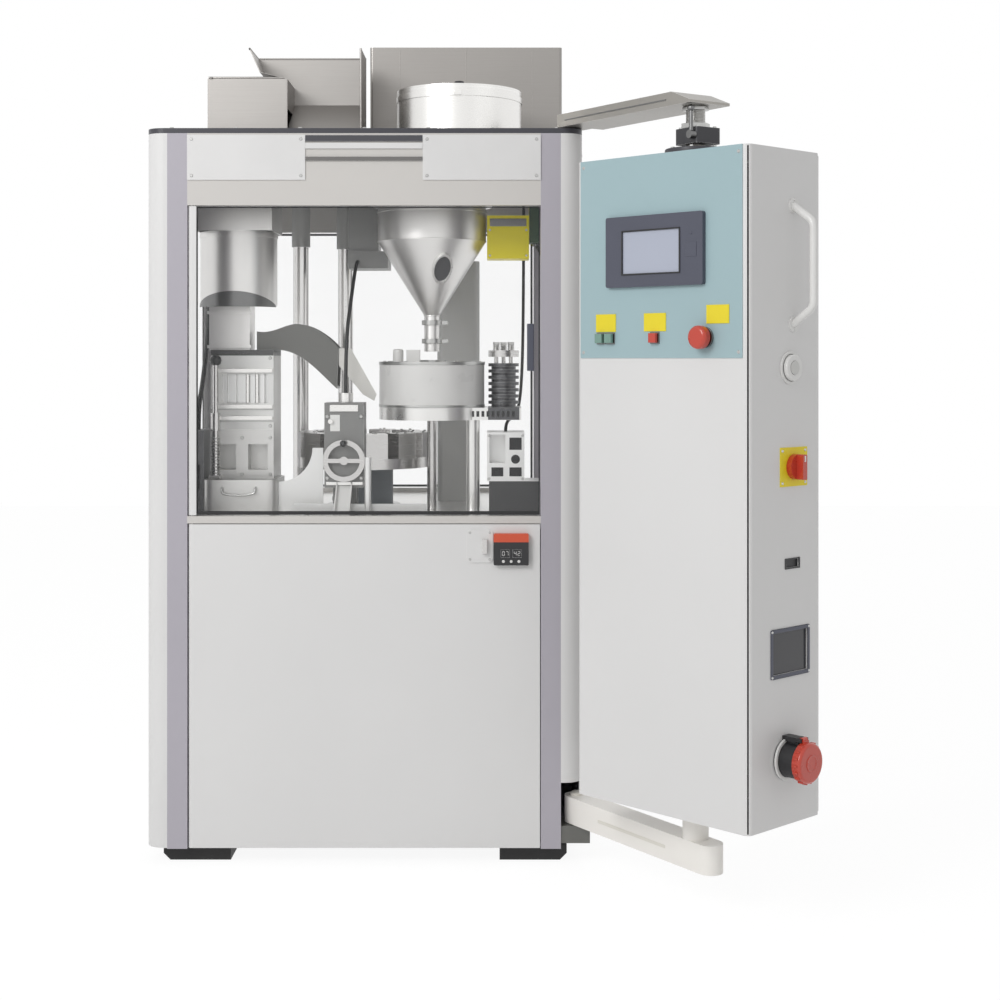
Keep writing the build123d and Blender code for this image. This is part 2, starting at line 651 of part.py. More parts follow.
def doser_bowl():
    """White bowl with its cover, over the dosing disc."""
    bowl = tube_z(POWDER_X, POWDER_Y, DOSER_Z, DOSER_R, DOSER_WALL)
    top = (DOSER_Z[1], DOSER_Z[1] + SKIN_T)
    cover = post(POWDER_X, POWDER_Y, top, DOSER_R) - post(POWDER_X, POWDER_Y, top, SPOUT_HOLE_R)
    knob = post(POWDER_X - DOSER_R * 0.62, POWDER_Y - DOSER_R * 0.4, (top[1], top[1] + KNOB_H), KNOB_R)
    clamp_x = (POWDER_X - DOSER_R * 0.45, POWDER_X - DOSER_R * 0.2)
    clamp_y = (POWDER_Y - DOSER_R * 0.7, POWDER_Y - DOSER_R * 0.45)
    clamp = block(clamp_x, clamp_y, (top[1], top[1] + CLAMP_H))
    return bowl + cover + fillet(knob.edges().sort_by(Axis.Z)[-1], DOSER_WALL) + clamp


def doser_stand():
    """Dosing plate on its pillars, with the drive column behind."""
    plate = post(POWDER_X, POWDER_Y, DOSING_PLATE_Z, DOSER_R)
    plate = plate + block((POWDER_X, STACK_X + STACK_R + ROD_R), PILLAR_Y, DOSING_PLATE_Z)
    plate = plate - post(POWDER_X, POWDER_Y, DOSING_PLATE_Z, DOSER_SHAFT_R + RUN_GAP)
    for y in PILLAR_Y:
        lean_in = y - PILLAR_R if y > POWDER_Y else y + PILLAR_R
        plate = plate + post(PILLAR_X, lean_in, (TABLE_Z, DOSING_PLATE_Z[0]), PILLAR_R)
    column = block(COLUMN_X, COLUMN_Y, (TABLE_Z, COLUMN_TOP))
    column = upright(column, PILLAR_R)
    return [plate, column]


def dosing_disc():
    """Dosing disc with its ring of capsule-sized holes, on its upright shaft."""
    z = (DOSER_Z[0] + FIT_GAP, DOSER_Z[0] + FIT_GAP + DOSING_DISC_T)
    disc = post(POWDER_X, POWDER_Y, z, DOSER_R - DOSER_WALL - DISC_GAP)
    for i in range(SEGMENT_COUNT):
        turn = radians(360 * i / SEGMENT_COUNT)
        reach = DOSER_R * 0.75
        at = (POWDER_X + reach * cos(turn), POWDER_Y + reach * sin(turn))
        disc = disc - post(at[0], at[1], z, 2 * CAPSULE_R)
    return disc + post(POWDER_X, POWDER_Y, (TABLE_UNDER - BEAM_H, z[1]), DOSER_SHAFT_R)


def tamping_stack():
    """Ribbed guide that the tamping rods slide in."""
    low = DOSING_PLATE_Z[1]
    pitch = (DOSER_Z[1] - low) / RIB_COUNT
    stack = post(STACK_X, POWDER_Y, (low, DOSER_Z[1]), STACK_R * 0.8)
    for i in range(RIB_COUNT):
        z = low + (i + 0.5) * pitch
        stack = stack + post(STACK_X, POWDER_Y, (z, z + pitch / 2), STACK_R)
    for x, y in tamping_rods():
        stack = stack - post(x, y, (low + 2 * pitch, DOSER_Z[1]), ROD_R + RUN_GAP)
    return stack


def tamping_rods():
    reach = STACK_R * 0.55
    turns = [radians(90 + 120 * i) for i in range(3)]
    return [(STACK_X + reach * cos(t), POWDER_Y + reach * sin(t)) for t in turns]


def tamping_head():
    """Three rods under a ring, lifted by the tamping cam."""
    low = DOSER_Z[1]
    ring_z = (low + FLANGE_W, low + 2 * FLANGE_W)
    head = tube_z(STACK_X, POWDER_Y, ring_z, STACK_R, STACK_R * 0.75)
    for x, y in tamping_rods():
        head = head + post(x, y, (low - 2 * FLANGE_W, low + 3 * FLANGE_W), ROD_R)
    return head


# ---- turret and stations --------------------------------------------------
STATION_X = (-103.0, -8.0)
STATION_Y = (-330.0, -262.0)
STATION_Z = (870.0, 1073.0)
WHEEL_X = -55.0
WHEEL_Z = 935.0
WHEEL_R = 50.0
WHEEL_GAP = 6.0
CHUTE_W = 38.0
BAR_X = (-173.0, 142.0)
BAR_Y = (-354.0, -342.0)
BAR_Z = (TABLE_Z + 15.0, TABLE_Z + 33.0)
BAR_END = 30.0  # from the bar's end to its foot
STAND_ASIDE = 12.0
STAND_OVER = 75.0
PLATE_X = (-220.0, -112.0)
PLATE_TOP = TABLE_Z + 162.0
PLATE_Y = (-270.0, -266.0)
PLATE_ARC_R = 82.0
LIP_HEIGHTS = (14.0, 10.0)
REJECT_X = (POWDER_X + 138.0, POWDER_X + 230.0)
REJECT_Y = (-230.0, -112.0)
REJECT_Z = (878.0, 998.0)
HOUSING_R = 74.0
INDEX_HALF = 90.0
INDEX_FOOT = CAM_Z - 70.0


def turret():
    """Indexing disc on its shaft, with a ring of segments that carry the capsules."""
    disc_z = (TURRET_Z, TURRET_Z + TURRET_T)
    disc = post(TURRET_X, TURRET_Y, disc_z, TURRET_R)
    disc = disc + post(TURRET_X, TURRET_Y, (TABLE_UNDER - BEAM_H, TURRET_Z + 2 * TURRET_T), TURRET_SHAFT_R)
    made = [disc]
    segment = Box(SEGMENT_L, SEGMENT_W, SEGMENT_H)
    for side in (-1, 1):
        segment = segment - Pos(0, side * SEGMENT_W / 4, 0) * Cylinder(CAPSULE_R, SEGMENT_H)
    reach = TURRET_R - SEGMENT_L / 2 - DOOR_GAP
    for i in range(SEGMENT_COUNT):
        turn = (i + 0.5) * 360 / SEGMENT_COUNT
        spoke = Pos(TURRET_X, TURRET_Y, disc_z[1] + SEGMENT_H / 2) * Rot(0, 0, turn)
        made.append(spoke * Pos(reach, 0, 0) * segment)
    return made


def index_box():
    """Turret housing on the table, indexing box under it and two camshaft hangers."""
    housing_z = (TABLE_Z, TURRET_Z - FIT_GAP)
    housing = tube_z(TURRET_X, TURRET_Y, housing_z, HOUSING_R, HOUSING_R - TURRET_SHAFT_R - RUN_GAP)
    box = block(
        (TURRET_X - INDEX_HALF, TURRET_X + INDEX_HALF),
        (TURRET_Y - INDEX_HALF / 2, CAM_Y + INDEX_HALF),
        (INDEX_FOOT, TABLE_UNDER),
    )
    bore_z = (TABLE_UNDER - BEAM_H - DOOR_GAP, TABLE_UNDER)
    box = box - post(TURRET_X, TURRET_Y, bore_z, TURRET_SHAFT_R + RUN_GAP)
    box = box - bar_x((CAM_SHAFT_X[0], CAM_SHAFT_X[1]), CAM_Y, CAM_Z, CAM_SHAFT_R + RUN_GAP)
    made = [housing, box]
    for end in CAM_SHAFT_X:
        side = 1 if end > 0 else -1
        x = sorted((end - side * 2 * CAM_SHAFT_R, end + side * CAM_SHAFT_R))
        reach = 3 * CAM_SHAFT_R
        hanger = block(x, (CAM_Y - reach, CAM_Y + reach), (CAM_Z - reach, TABLE_UNDER))
        made.append(hanger - bar_x(x, CAM_Y, CAM_Z, CAM_SHAFT_R + RUN_GAP))
    return made


def station_blocks():
    """Closing station, reject station on its base, stop bar with its post, and the turret guard."""
    station = block(STATION_X, STATION_Y, STATION_Z)
    stand_x = (STATION_X[0] + CHUTE_W / 2, STATION_X[1] - CHUTE_W / 2)
    station = station + block(stand_x, (STATION_Y[0] + CHUTE_W / 2, STATION_Y[1]), (TABLE_Z, STATION_Z[0]))
    station = station - bar_y(WHEEL_X, (STATION_Y[0], STATION_Y[0] + WHEEL_R / 2), WHEEL_Z, ROD_R + RUN_GAP)
    reject = block(REJECT_X, REJECT_Y, REJECT_Z)
    reject = reject + block((REJECT_X[0] + ROD_R, REJECT_X[1] + STACK_R), REJECT_Y, (TABLE_Z, REJECT_Z[0]))
    opening = block(
        (REJECT_X[0] + DOSER_WALL, REJECT_X[0] + INDEX_HALF / 2),
        (REJECT_Y[0], REJECT_Y[0] + INDEX_HALF / 2),
        (REJECT_Z[0] + INDEX_HALF / 2, REJECT_Z[1] - DOSER_WALL),
    )
    reject = reject - opening
    stop = block(BAR_X, BAR_Y, BAR_Z)
    for x in (BAR_X[0] + BAR_END, BAR_X[1] - BAR_END):
        stop = stop + post(x, (BAR_Y[0] + BAR_Y[1]) / 2, (TABLE_Z, BAR_Z[0]), ROD_R)
    stand_z = (TABLE_Z, STATION_Z[0] + STAND_OVER)
    stand = post(STATION_X[1] + STAND_ASIDE, BAR_Y[0] - STAND_ASIDE, stand_z, ROD_R + SKIN_T)
    guard_plate = block(PLATE_X, PLATE_Y, (TABLE_Z, PLATE_TOP))
    guard_plate = guard_plate - bar_y(PLATE_X[0], PLATE_Y, PLATE_TOP, PLATE_ARC_R)
    return [station, reject, stop, stand, guard_plate]


def station_handwheel():
    """Ring handwheel that sets the closing station's height."""
    y = (STATION_Y[0] - WHEEL_GAP - 2 * ROD_R, STATION_Y[0] - WHEEL_GAP)
    wheel = bar_y(WHEEL_X, y, WHEEL_Z, WHEEL_R) - bar_y(WHEEL_X, y, WHEEL_Z, WHEEL_R * 0.76)
    wheel = wheel + bar_y(WHEEL_X, (y[0], STATION_Y[0] - FIT_GAP), WHEEL_Z, 2 * ROD_R)
    spoke = 0.8 * WHEEL_R
    wheel = wheel + block((WHEEL_X - spoke, WHEEL_X + spoke), y, (WHEEL_Z - ROD_R, WHEEL_Z + ROD_R))
    return wheel + bar_y(WHEEL_X, (y[0], STATION_Y[0] + WHEEL_R / 2 - FIT_GAP), WHEEL_Z, ROD_R)


def outlet_chute():
    """White U-shaped slide for finished capsules."""
    y = (-HALF_D + LEAF_T + 3 * DOOR_GAP, STATION_Y[0])
    z = (TABLE_Z + 2 * ROD_R, STATION_Z[0] + ROD_R)
    x = (WHEEL_X - CHUTE_W / 2, WHEEL_X + CHUTE_W / 2)
    line = [(y[0], z[0]), (y[1], z[1]), (y[1], z[1] - 2 * SKIN_T), (y[0], z[0] - 2 * SKIN_T)]
    under = [(y[0], z[0] - 2 * SKIN_T), (y[1], z[1] - 2 * SKIN_T)]
    side = [(y[0], z[0] + LIP_HEIGHTS[0]), *under, (y[1], z[1] + LIP_HEIGHTS[1])]
    slide = plate_yz(line, x)
    for edge in x:
        wall_x = (edge, edge + SKIN_T) if edge == x[0] else (edge - SKIN_T, edge)
        slide = slide + plate_yz(side, wall_x)
    bar_y_range = (BAR_Y[0] - DOOR_GAP, BAR_Y[1] + DOOR_GAP)
    return slide - block(x, bar_y_range, (TABLE_Z, BAR_Z[1] + DOOR_GAP))


# ---- capsule side ---------------------------------------------------------
THROAT_X = (-400.0, -300.0)
THROAT_Y = (-205.0, -115.0)
MAGAZINE_TRAVEL = 20.0
WINDOW_X = (-364.0, -251.0)
WINDOW_Z = (1070.0, 1140.0)
CHUTE_Y = (-196.0, -112.0)
CHUTE_START_X = -284.0
CHUTE_START_H = 46.0
CHUTE_TOP = ((1.0, 50.0), (48.0, 64.0), (110.0, 44.0), (156.0, 4.0))
CHUTE_LOW = ((152.0, -96.0), (95.0, -42.0), (38.0, -6.0), (0.0, 0.0))
CHUTE_BED = ((0.0, SKIN_T), (39.0, -3.0), (96.0, -39.0), (153.0, -92.0))
STRIP_LINE = ((138.0, 4.0), (186.0, 4.0), (250.0, -110.0), (244.0, -126.0), (216.0, -110.0), (138.0, -16.0))
GROOVES = (147.0, 177.0)  # below the sorter's top
CHANNEL_COUNT = 6
PORT_W = 48.0
PORT_INSET = 14.0
PORT_DEPTH = 50.0
PORT_Z = (TABLE_Z + PAN_H + 20.0, SORTER_Z[0] - 26.0)
PAN_R = 24.0
FILTER_X = (-448.0, -403.0)
FILTER_Y = (-262.0, -166.0)
FILTER_TOP = TABLE_Z + 204.0
FILTER_PORT_Z = (TABLE_Z + 60.0, TABLE_Z + 120.0)
FILTER_WALL = 10.0
FILTER_PORT_DEPTH = 32.0
POLE_INSET = 14.0
POLE_AHEAD = 12.0
POLE_TOP = SORTER_Z[1] - 35.0
POLE_R = 7.0
SLEEVE_Z = (SORTER_Z[0] + 7.0, SORTER_Z[0] + 51.0)
SLEEVE_R = 11.5
SHELF_W = 28.0
SHELF_D = 26.0
SHELF_T = 8.0
BASE_Z = (TABLE_Z + PAN_H, SORTER_Z[0])


def capsule_bin():
    """Square duct down from the deck, round bin with a domed foot, and the throat to the sorter."""
    duct_x = (BIN_X - BIN_R, BIN_X + BIN_R)
    duct_y = (BIN_Y - BIN_R, BIN_Y + BIN_R)
    duct = block(duct_x, duct_y, (BIN_Z[1], CAB_TOP))
    inner_x = (duct_x[0] + SKIN_T, duct_x[1] - SKIN_T)
    inner_y = (duct_y[0] + SKIN_T, duct_y[1] - SKIN_T)
    duct = duct - block(inner_x, inner_y, (BIN_Z[1], CAB_TOP))
    made = duct + post(BIN_X, BIN_Y, BIN_Z, BIN_R)
    made = made - post(BIN_X, BIN_Y, (BIN_Z[0] + SKIN_T, BIN_Z[1]), BIN_R - SKIN_T)
    throat = block(THROAT_X, THROAT_Y, (SORTER_Z[1], BIN_Z[0]))
    made = made + throat
    drop_x = (THROAT_X[0] + 2 * SKIN_T, THROAT_X[1] - 2 * SKIN_T)
    drop_y = (THROAT_Y[0] + 2 * SKIN_T, THROAT_Y[1] - 2 * SKIN_T)
    return made - block(drop_x, drop_y, (SORTER_Z[1], BIN_Z[0] + SKIN_T))


def from_sorter(points):
    """Places (x, z) points that are measured from the sorter's upper right edge."""
    return [(SORTER_X[1] + x, SORTER_Z[1] + z) for x, z in points]


def capsule_chute():
    """Dark curved trough that carries empty caps over to the turret, with a pale strip at its end."""
    start_x = CHUTE_START_X
    low_z = SORTER_Z[1]
    start = (start_x, low_z + CHUTE_START_H)
    top = Spline(start, *from_sorter(CHUTE_TOP))
    low = Spline(*from_sorter(CHUTE_LOW))
    tip = from_sorter([CHUTE_TOP[-1], CHUTE_LOW[0]])
    face = make_face(Curve() + [top, Polyline(*tip), low, Polyline(low @ 1, (start_x, low_z), start)])
    wall = extrude(Plane.XZ * face, amount=SKIN_T, dir=(0, -1, 0))
    made = Pos(0, CHUTE_Y[0] + SKIN_T, 0) * wall + Pos(0, CHUTE_Y[1], 0) * wall
    above = Spline(*from_sorter(CHUTE_BED))
    foot = Polyline(above @ 1, low @ 0)
    flat = Polyline(low @ 1, (start_x, low_z), (start_x, low_z + SKIN_T), above @ 0)
    bed = extrude(Plane.XZ * make_face(Curve() + [low, above, foot, flat]),
                  amount=CHUTE_Y[1] - CHUTE_Y[0], dir=(0, -1, 0))
    made = made + Pos(0, CHUTE_Y[1], 0) * bed
    strip_y = (CHUTE_Y[0] + SKIN_T, CHUTE_Y[0] + 2 * SKIN_T)
    return [made, plate_xz(from_sorter(STRIP_LINE), strip_y)]


def sorter_body():
    """Housing of the capsule magazine, with a window and three grooves in front."""
    body = block(SORTER_X, SORTER_Y, SORTER_Z)
    inner_x = (SORTER_X[0] + SORTER_WALL, SORTER_X[1] - SORTER_WALL)
    inner_y = (SORTER_Y[0] + SORTER_WALL, SORTER_Y[1] - SORTER_WALL)
    body = body - block(inner_x, inner_y, (SORTER_Z[0] + SORTER_WALL, SORTER_Z[1] - SORTER_WALL))
    body = body - block(WINDOW_X, (SORTER_Y[0], inner_y[0]), WINDOW_Z)
    drop_z = (SORTER_Z[1] - SORTER_WALL, SORTER_Z[1])
    body = body - block((THROAT_X[0] + 3 * SORTER_WALL, THROAT_X[1]), THROAT_Y, drop_z)
    for drop in GROOVES:
        z = SORTER_Z[1] - drop
        body = body - block(SORTER_X, (SORTER_Y[0], SORTER_Y[0] + RAIL_T), (z, z + RAIL_T))
    return body


def magazine():
    """Sliding magazine with upright capsule channels."""
    x = (SORTER_X[0] + SORTER_WALL + FIT_GAP, SORTER_X[1] - SORTER_WALL - FIT_GAP)
    y = (SORTER_Y[0] + SORTER_WALL + FIT_GAP, SORTER_Y[1] - 3 * SORTER_WALL)
    z = (SORTER_Z[0] + SORTER_WALL + FIT_GAP, SORTER_Z[1] - SORTER_WALL - MAGAZINE_TRAVEL - FIT_GAP)
    body = block(x, y, z)
    pitch = (x[1] - x[0]) / CHANNEL_COUNT
    for i in range(CHANNEL_COUNT):
        cx = x[0] + (i + 0.5) * pitch
        body = body - block((cx - CAPSULE_R, cx + CAPSULE_R), (y[0], y[0] + 3 * CAPSULE_R), z)
    return body


def sorter_base():
    """Base with openings under the sorter, the waste pan, the filter beside it and the lever pole."""
    base = block(SORTER_X, SORTER_Y, BASE_Z)
    left_port = (SORTER_X[0] + PORT_INSET, SORTER_X[0] + PORT_INSET + PORT_W)
    right_port = (SORTER_X[1] - PORT_INSET - PORT_W, SORTER_X[1] - PORT_INSET)
    for x in (left_port, right_port):
        base = base - block(x, (SORTER_Y[0], SORTER_Y[0] + PORT_DEPTH), PORT_Z)
    base = base + block(SORTER_X, (PAN_Y[1] + FIT_GAP, SORTER_Y[1]), (TABLE_Z, BASE_Z[0]))
    pan = block(PAN_X, PAN_Y, (TABLE_Z, TABLE_Z + PAN_H))
    pan = upright(pan, PAN_R)
    hollow = block((PAN_X[0] + SKIN_T, PAN_X[1] - SKIN_T), (PAN_Y[0] + SKIN_T, SORTER_Y[0] - SKIN_T),
                   (TABLE_Z + SKIN_T, TABLE_Z + PAN_H))
    pan = pan - upright(hollow, PAN_R - SKIN_T)
    filter_box = block(FILTER_X, FILTER_Y, (TABLE_Z, FILTER_TOP))
    port_x = (FILTER_X[0] + FILTER_WALL, FILTER_X[1] - FILTER_WALL)
    filter_box = filter_box - block(port_x, (FILTER_Y[0], FILTER_Y[0] + FILTER_PORT_DEPTH), FILTER_PORT_Z)
    pole_x = SORTER_X[0] + POLE_INSET
    pole_y = SORTER_Y[0] - POLE_AHEAD
    pole = post(pole_x, pole_y, (BASE_Z[0], POLE_TOP), POLE_R) + post(pole_x, pole_y, SLEEVE_Z, SLEEVE_R)
    shelf_x = (SORTER_X[0], SORTER_X[0] + SHELF_W)
    shelf = block(shelf_x, (SORTER_Y[0] - SHELF_D, SORTER_Y[0]), (BASE_Z[0], BASE_Z[0] + SHELF_T))
    return [base + shelf + pole, pan, filter_box]


FRAME_REACH = TURRET_R + 44.0  # of the tie rods beside the turret
TIE_RODS = (
    (TURRET_X + FRAME_REACH * cos(radians(145.6)), TURRET_Y + FRAME_REACH * sin(radians(145.6))),
    (TURRET_X + FRAME_REACH * cos(radians(108.0)), TURRET_Y + FRAME_REACH * sin(radians(108.0))),
    (POWDER_X + 58.0, 215.0),
)
TIE_ROD_R = 20.0
TIE_SLEEVE_R = 24.0
CAM_ARM_X = (-70.0, 7.0)
CAM_ARM_Y = (-60.0, 40.0)
CAM_ARM_FOOT = 1452.0
CAM_HEAD_X = (-70.0, 32.0)
CAM_HEAD_Y = (-70.0, 50.0)
CAM_HEAD_FOOT = 1408.0
PIPE_Z = 1500.0
PIPE_Y = -20.0
PIPE_REACH = 37.0
PIPE_R = 5.0
PIPE_BEND_R = 22.0
LEVEL_X = (POWDER_X + FUNNEL_R + SKIN_T, DRUM_X + DRUM_R + 20.0)
LEVEL_Y = (-200.0, -118.0)
LEVEL_Z = (1425.0, 1532.0)
HANGER_W = 24.0
HANGER_INSET = 10.0
HANGER_FOOT = 1465.0


def upper_frame():
    """Tie rods from table to deck, and the cam bracket that hangs from the deck with its air pipe."""
    made = []
    for x, y in TIE_RODS:
        rod = post(x, y, (TABLE_Z, CAB_TOP), TIE_ROD_R)
        made.append(rod + post(x, y, (CONE_TOP, CAB_TOP), TIE_SLEEVE_R))
    bracket = block(CAM_ARM_X, CAM_ARM_Y, (CAM_ARM_FOOT, CAB_TOP))
    bracket = bracket + block(CAM_HEAD_X, CAM_HEAD_Y, (CAM_HEAD_FOOT, CAM_ARM_FOOT))
    start = (CAM_ARM_X[1], PIPE_Y, PIPE_Z)
    bend = (CAM_ARM_X[1] + PIPE_REACH, PIPE_Y, PIPE_Z)
    path = FilletPolyline(start, bend, (bend[0], PIPE_Y, CAB_TOP), radius=PIPE_BEND_R)
    pipe = sweep(path.location_at(0) * Circle(PIPE_R), path=path)
    made.append(bracket + pipe)
    return made


def level_controller():
    """Powder level controller on its hanger."""
    body = block(LEVEL_X, LEVEL_Y, LEVEL_Z)
    body = fillet(body.edges().filter_by(Axis.Z), SKIN_T)
    hanger_y = (LEVEL_Y[0] + HANGER_INSET, LEVEL_Y[1] - HANGER_INSET - DOOR_GAP)
    return [body, block((LEVEL_X[1], LEVEL_X[1] + HANGER_W), hanger_y, (HANGER_FOOT, CAB_TOP))]


# ---- drive bay ------------------------------------------------------------
CAM_R = (70.0, 60.0, 66.0)
CAM_X = (-260.0, 120.0, 200.0)
CAM_T = 16.0
PUMP_X = (120.0, 400.0)
PUMP_Y = (-250.0, -40.0)
PUMP_H = 230.0
SILENCER_X = PUMP_X[0] + 60.0
SILENCER_H = 90.0
SILENCER_R = 34.0
FIN_COUNT = 8


def camshaft():
    """Main shaft with three cams and the driven pulley."""
    shaft = bar_x(CAM_SHAFT_X, CAM_Y, CAM_Z, CAM_SHAFT_R)
    for x, r in zip(CAM_X, CAM_R):
        cam = bar_x((x, x + CAM_T), CAM_Y, CAM_Z, r)
        shaft = shaft + cam + bar_x((x, x + CAM_T), CAM_Y + r / 3, CAM_Z, r)
    return shaft + bar_x((PULLEY_X, PULLEY_X + PULLEY_W), CAM_Y, CAM_Z, BIG_PULLEY_R)


def motor_pulley():
    """Small pulley on the reducer's output shaft."""
    shaft = bar_x((PULLEY_X + PULLEY_W, PULLEY_X + 2 * PULLEY_W), CAM_Y, MOTOR_Z, CAM_SHAFT_R)
    return shaft + bar_x((PULLEY_X, PULLEY_X + PULLEY_W), CAM_Y, MOTOR_Z, SMALL_PULLEY_R)


def belt_loop(extra):
    """The space inside a belt that stands off both pulleys by extra."""
    big = BIG_PULLEY_R + extra
    small = SMALL_PULLEY_R + extra
    tip = Pos(CAM_Y, CAM_Z) * Circle(big) + Pos(CAM_Y, MOTOR_Z) * Circle(small)
    lean = (big - small) / (CAM_Z - MOTOR_Z)
    across = (1 - lean**2) ** 0.5
    sides = [
        (CAM_Y - big * across, CAM_Z + big * -lean),
        (CAM_Y + big * across, CAM_Z + big * -lean),
        (CAM_Y + small * across, MOTOR_Z + small * -lean),
        (CAM_Y - small * across, MOTOR_Z + small * -lean),
    ]
    return tip + make_face(Polyline(*sides, close=True))


def drive_belt():
    x = (PULLEY_X + SKIN_T, PULLEY_X + PULLEY_W - SKIN_T)
    outer = extrude(Plane.YZ * belt_loop(FIT_GAP + BELT_T), amount=x[1] - x[0])
    inner = extrude(Plane.YZ * belt_loop(FIT_GAP), amount=x[1] - x[0])
    return Pos(x[0], 0, 0) * (outer - inner)


def gearmotor():
    """Drive motor and its reducer, on a plate bolted to the tray."""
    x0 = PULLEY_X + PULLEY_W + FIT_GAP + SKIN_T
    case_y = (CAM_Y - REDUCER_W / 2, CAM_Y + REDUCER_W / 2)
    case = block((x0, x0 + REDUCER_W), case_y, (TRAY_Z, MOTOR_Z + REDUCER_W / 2))
    case = fillet(case.edges().filter_by(Axis.X), 2 * SKIN_T)
    case = case - bar_x((x0, x0 + PULLEY_W), CAM_Y, MOTOR_Z, CAM_SHAFT_R + RUN_GAP)
    can = bar_x((x0 + REDUCER_W, x0 + REDUCER_W + MOTOR_L), CAM_Y, MOTOR_Z, MOTOR_R)
    fins = []
    for i in range(FIN_COUNT):
        x = x0 + REDUCER_W + (i + 1) * MOTOR_L / (FIN_COUNT + 2)
        fins.append(bar_x((x, x + SKIN_T), CAM_Y, MOTOR_Z, MOTOR_R + 2 * SKIN_T))
    foot_x = (x0 + REDUCER_W, x0 + REDUCER_W + MOTOR_L)
    foot = block(foot_x, (CAM_Y - MOTOR_R / 2, CAM_Y + MOTOR_R / 2), (TRAY_Z, MOTOR_Z - MOTOR_R / 2))
    motor = can + foot
    for fin in fins:
        motor = motor + fin
    return [case, motor]


def vacuum_pump():
    """Vacuum pump with its silencer, on the tray."""
    body = block(PUMP_X, PUMP_Y, (TRAY_Z, TRAY_Z + PUMP_H))
    body = fillet(body.edges().filter_by(Axis.X), 6 * SKIN_T)
    mid_y = (PUMP_Y[0] + PUMP_Y[1]) / 2
    silencer_z = (TRAY_Z + PUMP_H, TRAY_Z + PUMP_H + SILENCER_H)
    return body + post(SILENCER_X, mid_y, silencer_z, SILENCER_R)


# ---- swing arms -----------------------------------------------------------
BRACKET_H = 40.0
ARM_OVER = 46.0
CLAMP_Z = (1636.0, 1670.0)
LEVER_R = 4.5
BRACKET_BACK = 18.0  # past the corner post
ARM_ROOT_R = 24.0
BEVEL_L = 60.0
BEVEL_T = 6.0
SHOULDER_L = 30.0
STEM_FOOT = CLAMP_Z[0] - 8.0
CLAMP_L = (-30.0, 44.0)
CLAMP_HALF = 34.0
CLAMP_R = 8.0
CLAMP_BOLT_L = 14.0
CLAMP_BOLT_R = 9.0
FOOT_PIN_L = 40.0
LEVER_DROP = 10.0
LEVER_BALL_R = 7.65
JOURNAL_R = 12.0


def arm_brackets():
    """Upper and lower pivot brackets of the swing arms, each with its pin."""
    front_y = -HALF_D + 2 * DOOR_GAP
    back_y = BRACKET_BACK - POST_IN_Y
    low_x = (POST_OUT_X, PIVOT_X + LOWER_ARM_W / 2 + DOOR_GAP)
    low = block(low_x, (front_y, back_y), (TRAY_Z, LOWER_ARM_Z[0] - DOOR_GAP))
    low = low + post(PIVOT_X, PIVOT_Y, (TRAY_Z, LOWER_ARM_Z[1]), ARM_PIN_R)
    inside = HALF_W - SKIN_T - FIT_GAP
    high_z = (CAB_TOP - BRACKET_H, CAB_TOP)
    bound = upright(block((-inside, inside), (-HALF_D + HALF_W - inside, HALF_D), high_z), CORNER_R - SKIN_T)
    high = block((POST_OUT_X, inside), (-HALF_D, back_y), high_z) & bound
    high = high + post(PIVOT_X, PIVOT_Y, (CAB_TOP - BRACKET_H, UPPER_ARM_Z[1]), ARM_PIN_R)
    return [low, high]


def arm_bar(z, width, reach):
    """A flat arm with both ends rounded, along +X from the pivot."""
    bar = block((0, reach), (-width / 2, width / 2), z)
    bar = bar + post(0, 0, z, width / 2) + post(reach, 0, z, width / 2)
    return bar - post(0, 0, z, ARM_PIN_R + RUN_GAP)


def upper_arm():
    """Hollow duct above, with a bevelled tip and the swivel stem."""
    half = UPPER_ARM_W / 2
    end = ARM_L + ARM_OVER
    low, high = UPPER_ARM_Z
    arm = block((0, end), (-half, half), UPPER_ARM_Z) + post(0, 0, UPPER_ARM_Z, ARM_ROOT_R)
    arm = arm - plate_xz([(end - BEVEL_L, high), (end, high), (end, low + BEVEL_T)], (-half, half))
    arm = arm - block((0, SHOULDER_L), (ARM_ROOT_R, half), UPPER_ARM_Z)
    arm = arm - post(0, 0, UPPER_ARM_Z, ARM_PIN_R + RUN_GAP)
    stem = post(ARM_L, 0, (STEM_FOOT, low), STEM_R)
    clamp = block((ARM_L + CLAMP_L[0], ARM_L + CLAMP_L[1]), (-CLAMP_HALF, CLAMP_HALF), CLAMP_Z)
    journal = post(ARM_L, 0, (PENDANT_Z[1] + FIT_GAP, CLAMP_Z[0]), JOURNAL_R - RUN_GAP)
    return ARM_PLACE * (arm + stem + upright(clamp, CLAMP_R) + journal)


def lower_arm():
    """Box section below, with the foot pin that carries the pendant."""
    arm = arm_bar(LOWER_ARM_Z, LOWER_ARM_W, ARM_L + ARM_OVER)
    collar = post(ARM_L, 0, (LOWER_ARM_Z[1], PENDANT_Z[0] - FIT_GAP), 2 * FOOT_PIN_R)
    pin = post(ARM_L, 0, (LOWER_ARM_Z[1], PENDANT_Z[0] + FOOT_PIN_L), FOOT_PIN_R)
    return ARM_PLACE * (arm + collar + pin)


def clamp_lever():
    """Lever that locks the swivel, with its bolt in the clamp block."""
    x = ARM_L + CLAMP_HALF
    y = -CLAMP_HALF
    mid_z = (CLAMP_Z[0] + CLAMP_Z[1]) / 2
    bolt = bar_y(x, (y - CLAMP_BOLT_L, y - FIT_GAP), mid_z, CLAMP_BOLT_R)
    foot = (x, y - CLAMP_R, mid_z)
    top = (x, y - CLAMP_R, UPPER_ARM_Z[0] - LEVER_DROP)
    ball = Pos(*top) * Sphere(LEVER_BALL_R)
    return ARM_PLACE * (bolt + bar_to(foot, top, LEVER_R) + ball)


